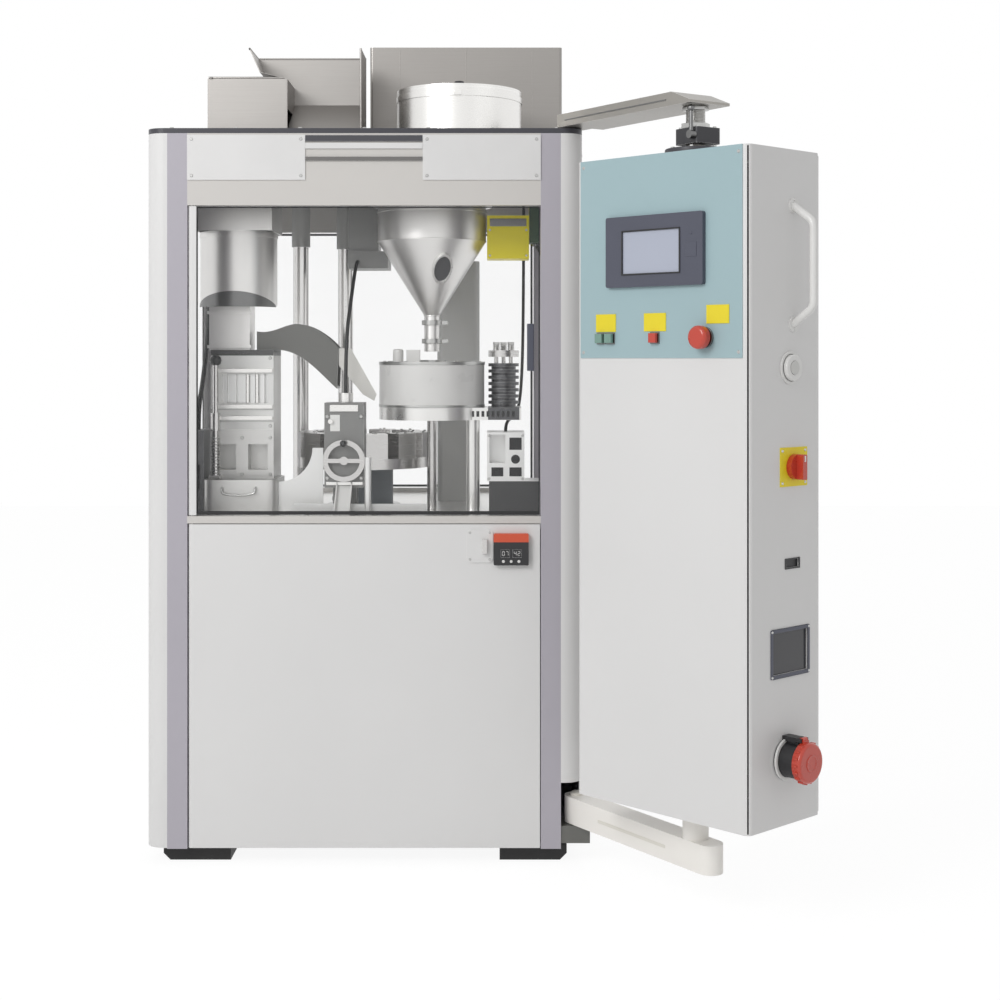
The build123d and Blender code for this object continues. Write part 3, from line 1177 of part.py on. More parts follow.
# ---- pendant --------------------------------------------------------------
HALF_PW = PENDANT_W / 2
HALF_PD = PENDANT_D / 2
FACE_Y = -HALF_PD - PANEL_T
START_U = (76.0, 103.0)
BUTTON_Z = 1222.0
BUTTON_W = 20.0
STOP_U = 228.0
MUSHROOM_U = 362.0
MUSHROOM_R = 24.0
LEGEND_T = 1.5
SWITCH_Z = 957.0
SWITCH_R = 26.0
MUSHROOM_T = 18.0
MUSHROOM_NECK = 10.0
MUSHROOM_ROUND = 9.0
RESET_Z = 1160.0
RESET_R = 27.0
RESET_V = 138.0
RESET_T = 8.0
SLOT_Z = (751.0, 767.0)
SLOT_V = (124.0, 168.0)
STEM_HOLE_R = BUTTON_W / 3 + RUN_GAP
CAP_T = 7.0
CAP_GAP = 1.0
DIAL_T = 12.0
GRIP_T = 16.0
GRIP_HALF = 7.0
GRIP_ROUND = 4.0
SPINDLE_L = 30.0
FOOT_BOSS_H = 44.0
FOOT_BORE_H = 41.0
DOOR_STILE = 24.0
DOOR_RIM = 6.0
LEGEND_U = ((61.0, 118.0), (198.0, 258.0))
LEGEND_Z = (BUTTON_Z + 14.0, BUTTON_Z + 52.0)
STOP_LEGEND_U = (MUSHROOM_U + 4.0, MUSHROOM_U + 62.0)
STOP_LEGEND_Z = (BUTTON_Z + 28.0, BUTTON_Z + 66.0)
SWITCH_PLATE_HALF = 46.0
SWITCH_PLATE_HALF_H = 40.0
BLADE_RING_R = 16.0
BLADE_R = 3.0
INLET_RIM_R = INLET_R - 5.0
INLET_BORE_R = INLET_R - 10.0
INLET_FLANGE_T = 6.0
INLET_FLOOR = 8.0
EAR_Z = INLET_Z + INLET_R + 4.0
EAR_HALF = 8.0
EAR_OUT = 12.0
EAR_PIN_R = 2.5
EAR_H = 4.0
KNUCKLE_R = 5.5
PANE_T = 4.0
PANE_LIP = 8.0
DISC_T = 19.0
DISC_ROUND = 3.0
SIDE_WINDOW_V = (79.0, 198.0)
SIDE_WINDOW_Z = (536.0, 621.0)


def at_u(u):
    """Local X of a place measured from the front face's left edge."""
    return u - HALF_PW


def at_v(v):
    """Local Y of a place measured back from the near corner of the side face."""
    return v - HALF_PD


def pendant_shell():
    """Folded steel case, open at the back for its door."""
    outer = upright(block((-HALF_PW, HALF_PW), (-HALF_PD, HALF_PD), PENDANT_Z), PENDANT_R)
    wall = PENDANT_WALL
    inner_z = (PENDANT_Z[0] + wall, PENDANT_Z[1] - wall)
    shell = outer - block((-HALF_PW + wall, HALF_PW - wall), (-HALF_PD + wall, HALF_PD), inner_z)
    shell = shell - block((HALF_PW - wall, HALF_PW), (at_v(SLOT_V[0]), at_v(SLOT_V[1])), SLOT_Z)
    shell = shell - block((HALF_PW - wall, HALF_PW), window_y(), SIDE_WINDOW_Z)
    for hole in panel_holes():
        shell = shell - hole
    shell = shell + post(0, 0, (PENDANT_Z[0], PENDANT_Z[0] + FOOT_BOSS_H), 2 * FOOT_PIN_R)
    bore = post(0, 0, (PENDANT_Z[0], PENDANT_Z[0] + FOOT_BORE_H), FOOT_PIN_R + RUN_GAP)
    return PENDANT_PLACE * (shell - bore)


def window_y():
    return at_v(SIDE_WINDOW_V[0]), at_v(SIDE_WINDOW_V[1])


def panel_holes():
    """Holes for the display, the buttons and the side controls."""
    made = []
    front = (FACE_Y, -HALF_PD + PENDANT_WALL)
    side = (HALF_PW - PENDANT_WALL, HALF_PW)
    bezel_x = (at_u(BEZEL_U[0]) + BEZEL_T, at_u(BEZEL_U[1]) - BEZEL_T)
    made.append(block(bezel_x, front, (BEZEL_Z[0] + BEZEL_T, BEZEL_Z[1] - BEZEL_T)))
    for u in (*START_U, STOP_U, MUSHROOM_U):
        made.append(bar_y(at_u(u), front, BUTTON_Z, STEM_HOLE_R))
    for z, v in ((RESET_Z, RESET_V), (SWITCH_Z, HANDLE_V)):
        made.append(bar_x(side, at_v(v), z, STEM_HOLE_R))
    return made


def pendant_door():
    """Rear door on its two pins, hollow inside."""
    y = (HALF_PD - PENDANT_DOOR_T, HALF_PD)
    reach = HALF_PW - PENDANT_WALL - DOOR_GAP
    z = (PENDANT_Z[0] + PENDANT_WALL + DOOR_GAP, PENDANT_Z[1] - PENDANT_WALL - DOOR_GAP)
    door = block((-reach, reach), y, z)
    door = fillet(door.edges().filter_by(Axis.Z).sort_by(Axis.X)[:2], PENDANT_DOOR_T / 2 - FIT_GAP)
    hollow_x = (DOOR_STILE - reach, reach - DOOR_RIM)
    hollow = block(hollow_x, (y[0], y[1] - PENDANT_WALL), (z[0] + DOOR_RIM, z[1] - DOOR_RIM))
    door = door - hollow
    pin_z = (z[0] - DOOR_GAP, z[1] + DOOR_GAP)
    pin = post(PENDANT_DOOR_T / 2 - reach, HALF_PD - PENDANT_DOOR_T / 2, pin_z, PIN_R)
    return PENDANT_PLACE * (door + pin)


def operator_panel():
    """Coloured plate over the upper front of the pendant."""
    z = (TEAL_Z, PENDANT_Z[1])
    plate = block((-HALF_PW + PENDANT_R, HALF_PW - PENDANT_R), (FACE_Y, -HALF_PD), z)
    for hole in panel_holes():
        plate = plate - hole
    return PENDANT_PLACE * plate


def hmi():
    """Display: dark bezel through the panel, and its glass."""
    x = (at_u(BEZEL_U[0]), at_u(BEZEL_U[1]))
    bezel = block(x, (FACE_Y - BEZEL_T, FACE_Y), BEZEL_Z)
    bezel = fillet(bezel.edges().filter_by(Axis.Y), BEZEL_T / 2)
    back_x = (x[0] + BEZEL_T + FIT_GAP, x[1] - BEZEL_T - FIT_GAP)
    back_z = (BEZEL_Z[0] + BEZEL_T + FIT_GAP, BEZEL_Z[1] - BEZEL_T - FIT_GAP)
    bezel = bezel + block(back_x, (FACE_Y, -HALF_PD + 4 * BEZEL_T), back_z)
    screen_x = (at_u(SCREEN_U[0]), at_u(SCREEN_U[1]))
    return bezel - block(screen_x, (FACE_Y - BEZEL_T, FACE_Y - BEZEL_T / 2), SCREEN_Z)


def hmi_screen():
    screen_x = (at_u(SCREEN_U[0]), at_u(SCREEN_U[1]))
    return PENDANT_PLACE * block(screen_x, (FACE_Y - BEZEL_T + LEGEND_T, FACE_Y - BEZEL_T / 2), SCREEN_Z)


def push_button(u, cap):
    """A button's cap and plunger. The plunger runs in its hole in the panel."""
    stem_y = (FACE_Y - BUTTON_TRAVEL - 2 * CAP_GAP, -HALF_PD + 4 * BUTTON_TRAVEL)
    stem = bar_y(at_u(u), stem_y, BUTTON_Z, BUTTON_W / 3)
    return PENDANT_PLACE * (cap + stem)


def square_button(u):
    y = FACE_Y - BUTTON_TRAVEL - CAP_GAP
    half = BUTTON_W / 2
    cap = block((at_u(u) - half, at_u(u) + half), (y - CAP_T, y), (BUTTON_Z - half, BUTTON_Z + half))
    cap = fillet(cap.faces().sort_by(Axis.Y)[0].edges(), LEGEND_T)
    return push_button(u, cap)


def mushroom():
    y = FACE_Y - BUTTON_TRAVEL - MUSHROOM_NECK
    head = bar_y(at_u(MUSHROOM_U), (y - MUSHROOM_T, y), BUTTON_Z, MUSHROOM_R)
    head = fillet(head.edges().sort_by(Axis.Y)[0], MUSHROOM_ROUND)
    neck = bar_y(at_u(MUSHROOM_U), (y, FACE_Y - BUTTON_TRAVEL - CAP_GAP), BUTTON_Z, MUSHROOM_R / 2)
    return push_button(MUSHROOM_U, head + neck)


def reset_button():
    """Round button on the side face."""
    x = HALF_PW + BUTTON_TRAVEL + CAP_GAP
    cap = bar_x((x, x + RESET_T), at_v(RESET_V), RESET_Z, RESET_R)
    cap = fillet(cap.edges().sort_by(Axis.X)[-1], SKIN_T)
    stem = bar_x((HALF_PW - 4 * BUTTON_TRAVEL, x), at_v(RESET_V), RESET_Z, BUTTON_W / 3)
    return PENDANT_PLACE * (cap + stem)


def main_switch():
    """Rotary main switch: round body with a grip, on its spindle."""
    x = HALF_PW + LEGEND_T + FIT_GAP
    y = at_v(HANDLE_V)
    dial = bar_x((x, x + DIAL_T), y, SWITCH_Z, SWITCH_R)
    grip_z = (SWITCH_Z - SWITCH_R, SWITCH_Z + SWITCH_R)
    grip = block((x + DIAL_T, x + DIAL_T + GRIP_T), (y - GRIP_HALF, y + GRIP_HALF), grip_z)
    grip = fillet(grip.edges().filter_by(Axis.X), GRIP_ROUND)
    spindle = bar_x((HALF_PW - SPINDLE_L, x), y, SWITCH_Z, BUTTON_W / 3)
    return PENDANT_PLACE * (dial + grip + spindle)


def legend_plates():
    """Blank yellow plates beside the controls."""
    y = (FACE_Y - LEGEND_T, FACE_Y)
    plates = [block((at_u(u[0]), at_u(u[1])), y, LEGEND_Z) for u in LEGEND_U]
    plates.append(block((at_u(STOP_LEGEND_U[0]), at_u(STOP_LEGEND_U[1])), y, STOP_LEGEND_Z))
    x = (HALF_PW, HALF_PW + LEGEND_T)
    side_y = (at_v(HANDLE_V) - SWITCH_PLATE_HALF, at_v(HANDLE_V) + SWITCH_PLATE_HALF)
    plate = block(x, side_y, (SWITCH_Z - SWITCH_PLATE_HALF_H, SWITCH_Z + SWITCH_PLATE_HALF_H))
    plates.append(plate - bar_x(x, at_v(HANDLE_V), SWITCH_Z, STEM_HOLE_R))
    return [PENDANT_PLACE * plate for plate in plates]


def side_handle():
    """Bow handle on the side face."""
    y = at_v(HANDLE_V)
    path = FilletPolyline(
        (HALF_PW, y, HANDLE_Z[0]),
        (HALF_PW + HANDLE_REACH, y, HANDLE_Z[0] + HANDLE_REACH * 0.7),
        (HALF_PW + HANDLE_REACH, y, HANDLE_Z[1] - HANDLE_REACH * 0.7),
        (HALF_PW, y, HANDLE_Z[1]),
        radius=3 * HANDLE_R,
    )
    bow = sweep(path.location_at(0) * Circle(HANDLE_R), path=path)
    feet_x = (HALF_PW, HALF_PW + SKIN_T)
    for z in HANDLE_Z:
        bow = bow + bar_x(feet_x, y, z, 2 * HANDLE_R)
    inside = block((0, HALF_PW), (-HALF_PD, HALF_PD), PENDANT_Z)
    return PENDANT_PLACE * (bow - inside)


def inlet_socket():
    """Power inlet: round flanged socket with three blades inside and an ear for its cap."""
    y = at_v(INLET_V)
    tip = HALF_PW + INLET_L
    body = bar_x((HALF_PW, tip), y, INLET_Z, INLET_RIM_R)
    body = body + bar_x((HALF_PW, HALF_PW + INLET_FLANGE_T), y, INLET_Z, INLET_R)
    body = body - bar_x((HALF_PW + INLET_FLOOR, tip), y, INLET_Z, INLET_BORE_R)
    for i in range(3):
        turn = radians(120 * i)
        blade_y = y + BLADE_RING_R * cos(turn)
        blade_z = INLET_Z + BLADE_RING_R * sin(turn)
        blade_x = (HALF_PW + INLET_FLANGE_T, tip - INLET_FLOOR)
        body = body + bar_x(blade_x, blade_y, blade_z, BLADE_R)
    inner_y = (y - EAR_HALF, y + EAR_HALF)
    outer_y = (y - EAR_OUT, y + EAR_OUT)
    lug = block((HALF_PW, tip), inner_y, (INLET_Z + INLET_RIM_R - EAR_H, EAR_Z + EAR_H))
    pocket = block((tip - CAP_T, tip), inner_y, (INLET_Z + INLET_R - 1.5 * EAR_H, EAR_Z + EAR_H))
    made = body + (lug - pocket) + bar_y(tip, outer_y, EAR_Z, EAR_PIN_R)
    arm_x = (tip - EAR_OUT, tip + SKIN_T)
    arm_z = (EAR_Z - EAR_H, EAR_Z + EAR_H)
    made = made + block(arm_x, (outer_y[0], outer_y[0] + SKIN_T), arm_z)
    made = made + block(arm_x, (outer_y[1] - SKIN_T, outer_y[1]), arm_z)
    tie = block((HALF_PW, arm_x[0] + CAP_GAP), outer_y, (EAR_Z - 1.5 * EAR_H, EAR_Z + EAR_H))
    return PENDANT_PLACE * (made + tie)


def inlet_cap():
    """Hinged cover of the power inlet."""
    y = at_v(INLET_V)
    tip = HALF_PW + INLET_L
    cap = bar_x((tip + FIT_GAP, tip + CAP_L), y, INLET_Z, INLET_R)
    cap = fillet(cap.edges().sort_by(Axis.X)[-1], 2 * SKIN_T)
    inner_y = (y - EAR_HALF, y + EAR_HALF)
    knuckle = bar_y(tip, inner_y, EAR_Z, KNUCKLE_R)
    web = block((tip + FIT_GAP, tip + EAR_HALF), inner_y, (INLET_Z + INLET_R - EAR_HALF, EAR_Z))
    return PENDANT_PLACE * (cap + knuckle + web - bar_y(tip, inner_y, EAR_Z, EAR_PIN_R + RUN_GAP))


def pendant_window():
    """Dark pane behind the opening in the side face."""
    y = window_y()
    x = (HALF_PW - PENDANT_WALL - PANE_T, HALF_PW - PENDANT_WALL)
    z = (SIDE_WINDOW_Z[0] - PANE_LIP, SIDE_WINDOW_Z[1] + PANE_LIP)
    return PENDANT_PLACE * block(x, (y[0] - PANE_LIP, y[1] + PANE_LIP), z)


def swivel_disc():
    """Black bearing disc on the pendant's top, round the foot of the stem."""
    ring = tube_z(0, 0, (PENDANT_Z[1], PENDANT_Z[1] + DISC_T), SWIVEL_R, SWIVEL_R - JOURNAL_R)
    return PENDANT_PLACE * fillet(ring.edges().sort_by(Axis.Z)[-2:], DISC_ROUND)


PLATE_HALF = 190.0
PLATE_FRONT = 20.0
BACK_PLATE_T = 3.0
PLATE_MARGIN = (80.0, 60.0)
STANDOFF_X = 160.0
STANDOFF_INSET = 20.0
STANDOFF_R = 6.0
DRIVE_X = (-150.0, 10.0)
DRIVE_Z = (60.0, 320.0)
DRIVE_BACK = 92.0
ROW_Z = (460.0, 660.0)
ROW_HALF = 170.0
ROW_H = 34.0
CONTACTOR_COUNT = 6
CONTACTOR_W = 44.0
CONTACTOR_PITCH = 54.0
CONTACTOR_BACK = 86.0
CONTACTOR_Z = (-24.0, 60.0)


def control_plate():
    """Mounting plate inside the pendant with the drive, contactors and terminal rows."""
    back = PLATE_FRONT + BACK_PLATE_T
    low = PENDANT_Z[0] + PLATE_MARGIN[0]
    high = PENDANT_Z[1] - PLATE_MARGIN[1]
    made = block((-PLATE_HALF, PLATE_HALF), (PLATE_FRONT, back), (low, high))
    for x in (-STANDOFF_X, STANDOFF_X):
        for z in (low + STANDOFF_INSET, high - STANDOFF_INSET):
            made = made + bar_y(x, (PENDANT_WALL - HALF_PD, PLATE_FRONT), z, STANDOFF_R)
    made = made + block(DRIVE_X, (back, DRIVE_BACK), (low + DRIVE_Z[0], low + DRIVE_Z[1]))
    for row in ROW_Z:
        z = low + row
        made = made + block((-ROW_HALF, ROW_HALF), (back, back + EAR_HALF), (z, z + ROW_H))
        for i in range(CONTACTOR_COUNT):
            x = i * CONTACTOR_PITCH - STANDOFF_X
            contactor_z = (z + CONTACTOR_Z[0], z + CONTACTOR_Z[1])
            made = made + block((x, x + CONTACTOR_W), (back, CONTACTOR_BACK), contactor_z)
    return PENDANT_PLACE * made


NODES = {
    "feet": feet,
    "base_frame": base_frame,
    "side_panels": side_panels,
    "side_windows": side_windows,
    "work_table": work_table,
    "header_panels": header_panels,
    "header_trim": header_trim,
    "deck": deck,
    "lower_door": lower_door,
    "door_latch": door_latch,
    "batch_counter": counter,
    "front_guard": lambda: guard(-1),
    "rear_guard": lambda: guard(1),
    "rear_door": rear_door,
    "powder_drum": powder_drum,
    "powder_lid": powder_lid,
    "rear_cover": rear_cover,
    "capsule_hopper": capsule_hopper,
    "powder_funnel": funnel,
    "funnel_stirrer": auger,
    "doser_bowl": doser_bowl,
    "doser_stand": lambda: [*doser_stand(), tamping_stack()],
    "dosing_disc": dosing_disc,
    "tamping_head": tamping_head,
    "turret": turret,
    "index_box": index_box,
    "station_blocks": station_blocks,
    "station_handwheel": station_handwheel,
    "outlet_chute": outlet_chute,
    "capsule_bin": capsule_bin,
    "capsule_chute": capsule_chute,
    "capsule_magazine": magazine,
    "sorter": lambda: [sorter_body(), *sorter_base()],
    "upper_frame": upper_frame,
    "level_controller": level_controller,
    "camshaft": camshaft,
    "motor_pulley": motor_pulley,
    "drive_belt": drive_belt,
    "drive_motors": lambda: [*gearmotor(), auger_motor()],
    "vacuum_pump": vacuum_pump,
    "arm_brackets": arm_brackets,
    "swing_arms": lambda: [upper_arm(), lower_arm()],
    "clamp_lever": clamp_lever,
    "swivel_disc": swivel_disc,
    "pendant_shell": pendant_shell,
    "pendant_door": pendant_door,
    "operator_panel": operator_panel,
    "display_bezel": lambda: PENDANT_PLACE * hmi(),
    "pendant_glazing": lambda: [hmi_screen(), pendant_window()],
    "start_button": lambda: square_button(START_U[0]),
    "jog_button": lambda: square_button(START_U[1]),
    "stop_button": lambda: square_button(STOP_U),
    "stop_mushroom": mushroom,
    "reset_button": reset_button,
    "main_switch": main_switch,
    "legend_plates": legend_plates,
    "side_handle": side_handle,
    "inlet_socket": inlet_socket,
    "inlet_cap": inlet_cap,
    "control_plate": control_plate,
}

for node, make in NODES.items():
    made = make()
    if isinstance(made, list):
        save(node, *made)
    else:
        save(node, made)
print(len(NODES), "nodes")
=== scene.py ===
# %% [markdown]
# # Capsule filler
# A floor-standing machine that fills hard capsules with powder. The construction comes from the CAD
# frame, and this lesson gives it its finishes, its small fittings, a floor, lamps and a camera.
# Everything is in metres. The origin is on the floor under the middle of the cabinet.

# %% Load the frame
import bmesh
import bpy
import json
import math
from mathutils import Matrix, Vector


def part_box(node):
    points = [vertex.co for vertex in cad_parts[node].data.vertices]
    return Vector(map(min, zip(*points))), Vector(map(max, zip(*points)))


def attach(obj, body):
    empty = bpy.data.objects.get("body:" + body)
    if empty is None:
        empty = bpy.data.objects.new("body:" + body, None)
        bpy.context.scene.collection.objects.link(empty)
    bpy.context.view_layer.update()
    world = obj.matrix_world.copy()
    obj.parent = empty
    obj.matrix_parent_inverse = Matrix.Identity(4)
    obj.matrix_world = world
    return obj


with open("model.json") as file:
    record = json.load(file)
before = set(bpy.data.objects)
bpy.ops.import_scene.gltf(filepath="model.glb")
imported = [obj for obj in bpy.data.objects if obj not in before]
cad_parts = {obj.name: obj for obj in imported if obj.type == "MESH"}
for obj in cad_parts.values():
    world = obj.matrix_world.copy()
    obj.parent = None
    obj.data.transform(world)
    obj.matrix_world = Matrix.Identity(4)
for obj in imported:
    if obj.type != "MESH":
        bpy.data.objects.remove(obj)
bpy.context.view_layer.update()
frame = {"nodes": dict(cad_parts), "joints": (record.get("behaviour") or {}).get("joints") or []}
MM = 0.001

# %% [markdown]
# ## Camera
# The machine is seen from an operator's chest height, straight along +Y and a little to the right of the
# middle. A long lens keeps its upright edges parallel. The lens is shifted down instead of tilting the
# camera, as a product photographer would do, so upright lines stay upright.

# %% Camera
camera_data = bpy.data.cameras.new("camera")
camera_data.lens = 60.1
camera_data.sensor_width = 36.0
camera_data.shift_y = -0.142
camera_data.clip_end = 60.0
camera = bpy.data.objects.new("camera", camera_data)
camera.location = (0.317, -4.321, 1.180)
camera.rotation_euler = (math.radians(90), 0.0, 0.0)
bpy.context.scene.collection.objects.link(camera)
bpy.context.scene.camera = camera
bpy.context.scene.view_settings.view_transform = "Standard"
print("camera at", tuple(round(v, 3) for v in camera.location))

# %% [markdown]
# ## Shader maths
# A material is a small calculation. Writing it with node links by hand hides the sum, so one class wraps a
# socket and lets + - * / build the Math nodes. The `Look` class makes a material and adds any other node.

# %% Sockets that can be added up
class Value:
    """A socket that Python operators can be used on."""

    def __init__(self, look, socket):
        self.look = look
        self.socket = socket

    def _math(self, operation, *terms):
        return self.look.node("ShaderNodeMath", {"operation": operation}, dict(enumerate(terms)))

    def __add__(self, other):
        return self._math("ADD", self, other)

    __radd__ = __add__

    def __mul__(self, other):
        return self._math("MULTIPLY", self, other)

    __rmul__ = __mul__

    def __sub__(self, other):
        return self._math("SUBTRACT", self, other)

    def __rsub__(self, other):
        return self._math("SUBTRACT", other, self)

    def __truediv__(self, other):
        return self._math("DIVIDE", self, other)

    def above(self, level):
        return self._math("GREATER_THAN", self, level)

    def below(self, level):
        return self._math("LESS_THAN", self, level)

    def power(self, exponent):
        return self._math("POWER", self, exponent)


class Look:
    """A material under construction."""

    def __init__(self, name):
        self.material = bpy.data.materials.new(name)
        self.material.use_nodes = True
        self.tree = self.material.node_tree
        self.tree.nodes.clear()
        self.output = self.tree.nodes.new("ShaderNodeOutputMaterial")
        self.shader = self.tree.nodes.new("ShaderNodeBsdfPrincipled")
        self.tree.links.new(self.shader.outputs[0], self.output.inputs[0])

    def node(self, kind, settings=None, inputs=None, out=0):
        """Adds a node: its type, its settings, then the values or links of its sockets."""
        made = self.tree.nodes.new(kind)
        for key, value in (settings or {}).items():
            if key == "stops":
                ramp = made.color_ramp
                while len(ramp.elements) < len(value):
                    ramp.elements.new(0.5)
                for element, (at, colour) in zip(ramp.elements, value):
                    element.position = at
                    element.color = (*colour, 1.0)
            else:
                setattr(made, key, value)
        for key, value in (inputs or {}).items():
            self.give(made.inputs[key], value)
        return Value(self, made.outputs[out])

    def give(self, socket, value):
        if isinstance(value, Value):
            self.tree.links.new(value.socket, socket)
        elif isinstance(value, tuple) and socket.type == "RGBA":
            socket.default_value = (*value[:3], 1.0)
        else:
            socket.default_value = value

    def place(self, scale=(1.0, 1.0, 1.0), turn=(0.0, 0.0, 0.0), shift=(0.0, 0.0, 0.0)):
        """Object coordinates, scaled, turned and shifted."""
        coords = self.node("ShaderNodeTexCoord", out=3)
        return self.node("ShaderNodeMapping", None,
                         {"Vector": coords, "Location": shift, "Rotation": turn, "Scale": scale})

    def noise(self, place, scale, detail=3.0, rough=0.55):
        return self.node("ShaderNodeTexNoise", None,
                         {"Vector": place, "Scale": scale, "Detail": detail, "Roughness": rough})

    def mix(self, factor, a, b):
        """Blends two colours."""
        made = self.tree.nodes.new("ShaderNodeMix")
        made.data_type = "RGBA"
        self.give(made.inputs[0], factor)
        self.give(made.inputs[6], a)
        self.give(made.inputs[7], b)
        return Value(self, made.outputs[2])

    def axis(self, place, which):
        return self.node("ShaderNodeSeparateXYZ", None, {0: place}, out="XYZ".index(which))

    def edges(self, radius):
        """One on sharp edges and nought on flats: the mask for painted highlights on edges, and for more
        alpha at the edges of clear sheet.
        """
        soft = self.node("ShaderNodeBevel", {"samples": 4}, {"Radius": radius})
        hard = self.node("ShaderNodeNewGeometry", None, None, out=1)
        same = self.node("ShaderNodeVectorMath", {"operation": "DOT_PRODUCT"}, {0: soft, 1: hard}, out=1)
        return (1.0 - same) * 6.0

    def bump(self, height, strength, distance):
        return self.node("ShaderNodeBump", None,
                         {"Height": height, "Strength": strength, "Distance": distance})

    def finish(self, **sockets):
        for name, value in sockets.items():
            self.give(self.shader.inputs[name.replace("_", " ")], value)
        return self.material


print("shader classes ready")

# %% [markdown]
# ## Finishes
# Sheet-metal machines are powder coated: a thick paint with a faint orange-peel texture, a little duller
# where hands rub it, and with a painted highlight that lightens the colour along folds. Fine noise gives the
# peel, slow noise gives the uneven batch colour, and the edge mask finds the folds for the painted highlight.

# %% Powder coat
def shade(colour, factor):
    """A colour made lighter or darker."""
    return tuple(min(1.0, channel * factor) for channel in colour)


def powder_coat(name, colour, roughness=0.42, peel=0.12):
    look = Look(name)
    place = look.place()
    slow = look.noise(place, 2.2, 2.0)
    fine = look.noise(place, 620.0, 2.0)
    smear = look.noise(look.place(scale=(1.0, 1.0, 0.25)), 9.0, 4.0)
    base = look.mix(slow, shade(colour, 0.965), shade(colour, 1.03))
    # The colour is made lighter on sharp folds: a painted highlight.
    painted_edge_highlight = look.mix(look.edges(0.0015) * 0.5, base, shade(colour, 1.12))
    return look.finish(
        Base_Color=painted_edge_highlight,
        Roughness=smear * 0.16 + (roughness - 0.08),
        Normal=look.bump(fine, peel, 0.0004),
    )


# %% [markdown]
# Stainless sheet is brushed: thousands of fine scratches in one direction. Noise squeezed across the grain
# and stretched along it draws the scratches, in the roughness and in a very shallow bump.

# %% Steel
GRAIN = {"X": (1.5, 130.0, 130.0), "Y": (130.0, 1.5, 130.0), "Z": (130.0, 130.0, 1.5)}


def brushed_steel(name, colour, along="X", roughness=0.3, tarnish=0.08):
    look = Look(name)
    streaks = look.noise(look.place(scale=GRAIN[along]), 6.0, 3.0, 0.7)
    clouds = look.noise(look.place(), 5.0, 3.0)
    base = look.mix(clouds, shade(colour, 1.0 - tarnish), shade(colour, 1.0 + tarnish))
    lined = look.mix(streaks * 0.5, base, shade(colour, 0.82))
    # Sharp edges are mixed towards a lighter colour: a painted highlight.
    bright = look.mix(look.edges(0.001) * 0.6, lined, shade(colour, 1.35))
    return look.finish(
        Base_Color=bright,
        Metallic=1.0,
        Roughness=streaks * 0.22 + (roughness - 0.08),
        Normal=look.bump(streaks, 0.1, 0.0004),
    )


def turned_metal(name, colour, roughness=0.22):
    """Ground or turned parts: fine rings round the upright axis, and tiny pits."""
    look = Look(name)
    rings = look.noise(look.place(scale=(6.0, 6.0, 420.0)), 3.0, 3.0, 0.6)
    pits = look.noise(look.place(), 240.0, 2.0)
    base = look.mix(rings, shade(colour, 0.9), shade(colour, 1.08))
    # The colour is made lighter on sharp edges: a painted highlight.
    return look.finish(
        Base_Color=look.mix(look.edges(0.0008) * 0.6, base, shade(colour, 1.3)),
        Metallic=1.0,
        Roughness=rings * 0.15 + roughness * 0.8,
        Normal=look.bump(pits, 0.05, 0.0003),
    )


# %% [markdown]
# Moulded plastic and rubber have no grain. They show a fine spark-eroded mould texture, and are a little
# shinier where they are touched. Painted castings are rougher, with the bumps of the sand they were cast in.

# %% Plastics, rubber and castings
def moulded(name, colour, roughness=0.35, texture=420.0, depth=0.1, coat=0.0):
    look = Look(name)
    fine = look.noise(look.place(), texture, 2.0)
    rub = look.noise(look.place(), 14.0, 3.0)
    base = look.mix(rub, shade(colour, 0.93), shade(colour, 1.06))
    # The colour is made lighter on sharp edges: a painted highlight.
    return look.finish(
        Base_Color=look.mix(look.edges(0.0008) * 0.4, base, shade(colour, 1.25)),
        Roughness=rub * 0.2 + (roughness - 0.1),
        Normal=look.bump(fine, depth, 0.0003),
        Coat_Weight=coat,
    )


def casting(name, colour):
    look = Look(name)
    sand = look.noise(look.place(), 160.0, 5.0, 0.7)
    grime = look.noise(look.place(), 7.0, 4.0)
    base = look.mix(grime, shade(colour, 0.75), shade(colour, 1.1))
    # The colour is made lighter on sharp edges: a painted highlight.
    return look.finish(
        Base_Color=look.mix(look.edges(0.002) * 0.7, base, shade(colour, 1.5)),
        Metallic=0.15,
        Roughness=sand * 0.3 + 0.4,
        Normal=look.bump(sand, 0.35, 0.0012),
    )


# %% [markdown]
# Clear guards are acrylic sheet: almost nothing shows but a faint veil, a few wiping smears and brighter
# sawn edges. A low alpha with a glossy surface gives that, and keeps working when the model is exported.

# %% Clear sheet
def clear_sheet(name, colour, veil):
    look = Look(name)
    wipes = look.noise(look.place(scale=(1.0, 1.0, 3.0)), 5.0, 4.0)
    edge = look.edges(0.002)
    return look.finish(
        Base_Color=look.mix(wipes, shade(colour, 0.95), colour),
        Roughness=wipes * 0.12 + 0.02,
        Alpha=wipes * (veil * 0.5) + edge * 0.3 + veil * 0.7,
        Normal=look.bump(wipes, 0.02, 0.0004),
    )


print("finish makers ready")

# %% [markdown]
# ## Pieces of two finishes
# Some CAD nodes hold neighbours of different finishes, such as the level controller and its hanger. Their
# mesh can't be split, so a mask in object coordinates says where each finish lies. The mask is a plain box,
# given in millimetres like the drawing, and it mixes colour, roughness and metal at the same time.

# %% Zoned finish
def inside(look, spans):
    """One between the given limits on each axis, in millimetres, and nought elsewhere."""
    mask = 1.0
    place = look.place()
    for which, (low, high) in spans.items():
        along = look.axis(place, which)
        mask = along.above(low * MM) * along.below(high * MM) * mask
    return mask


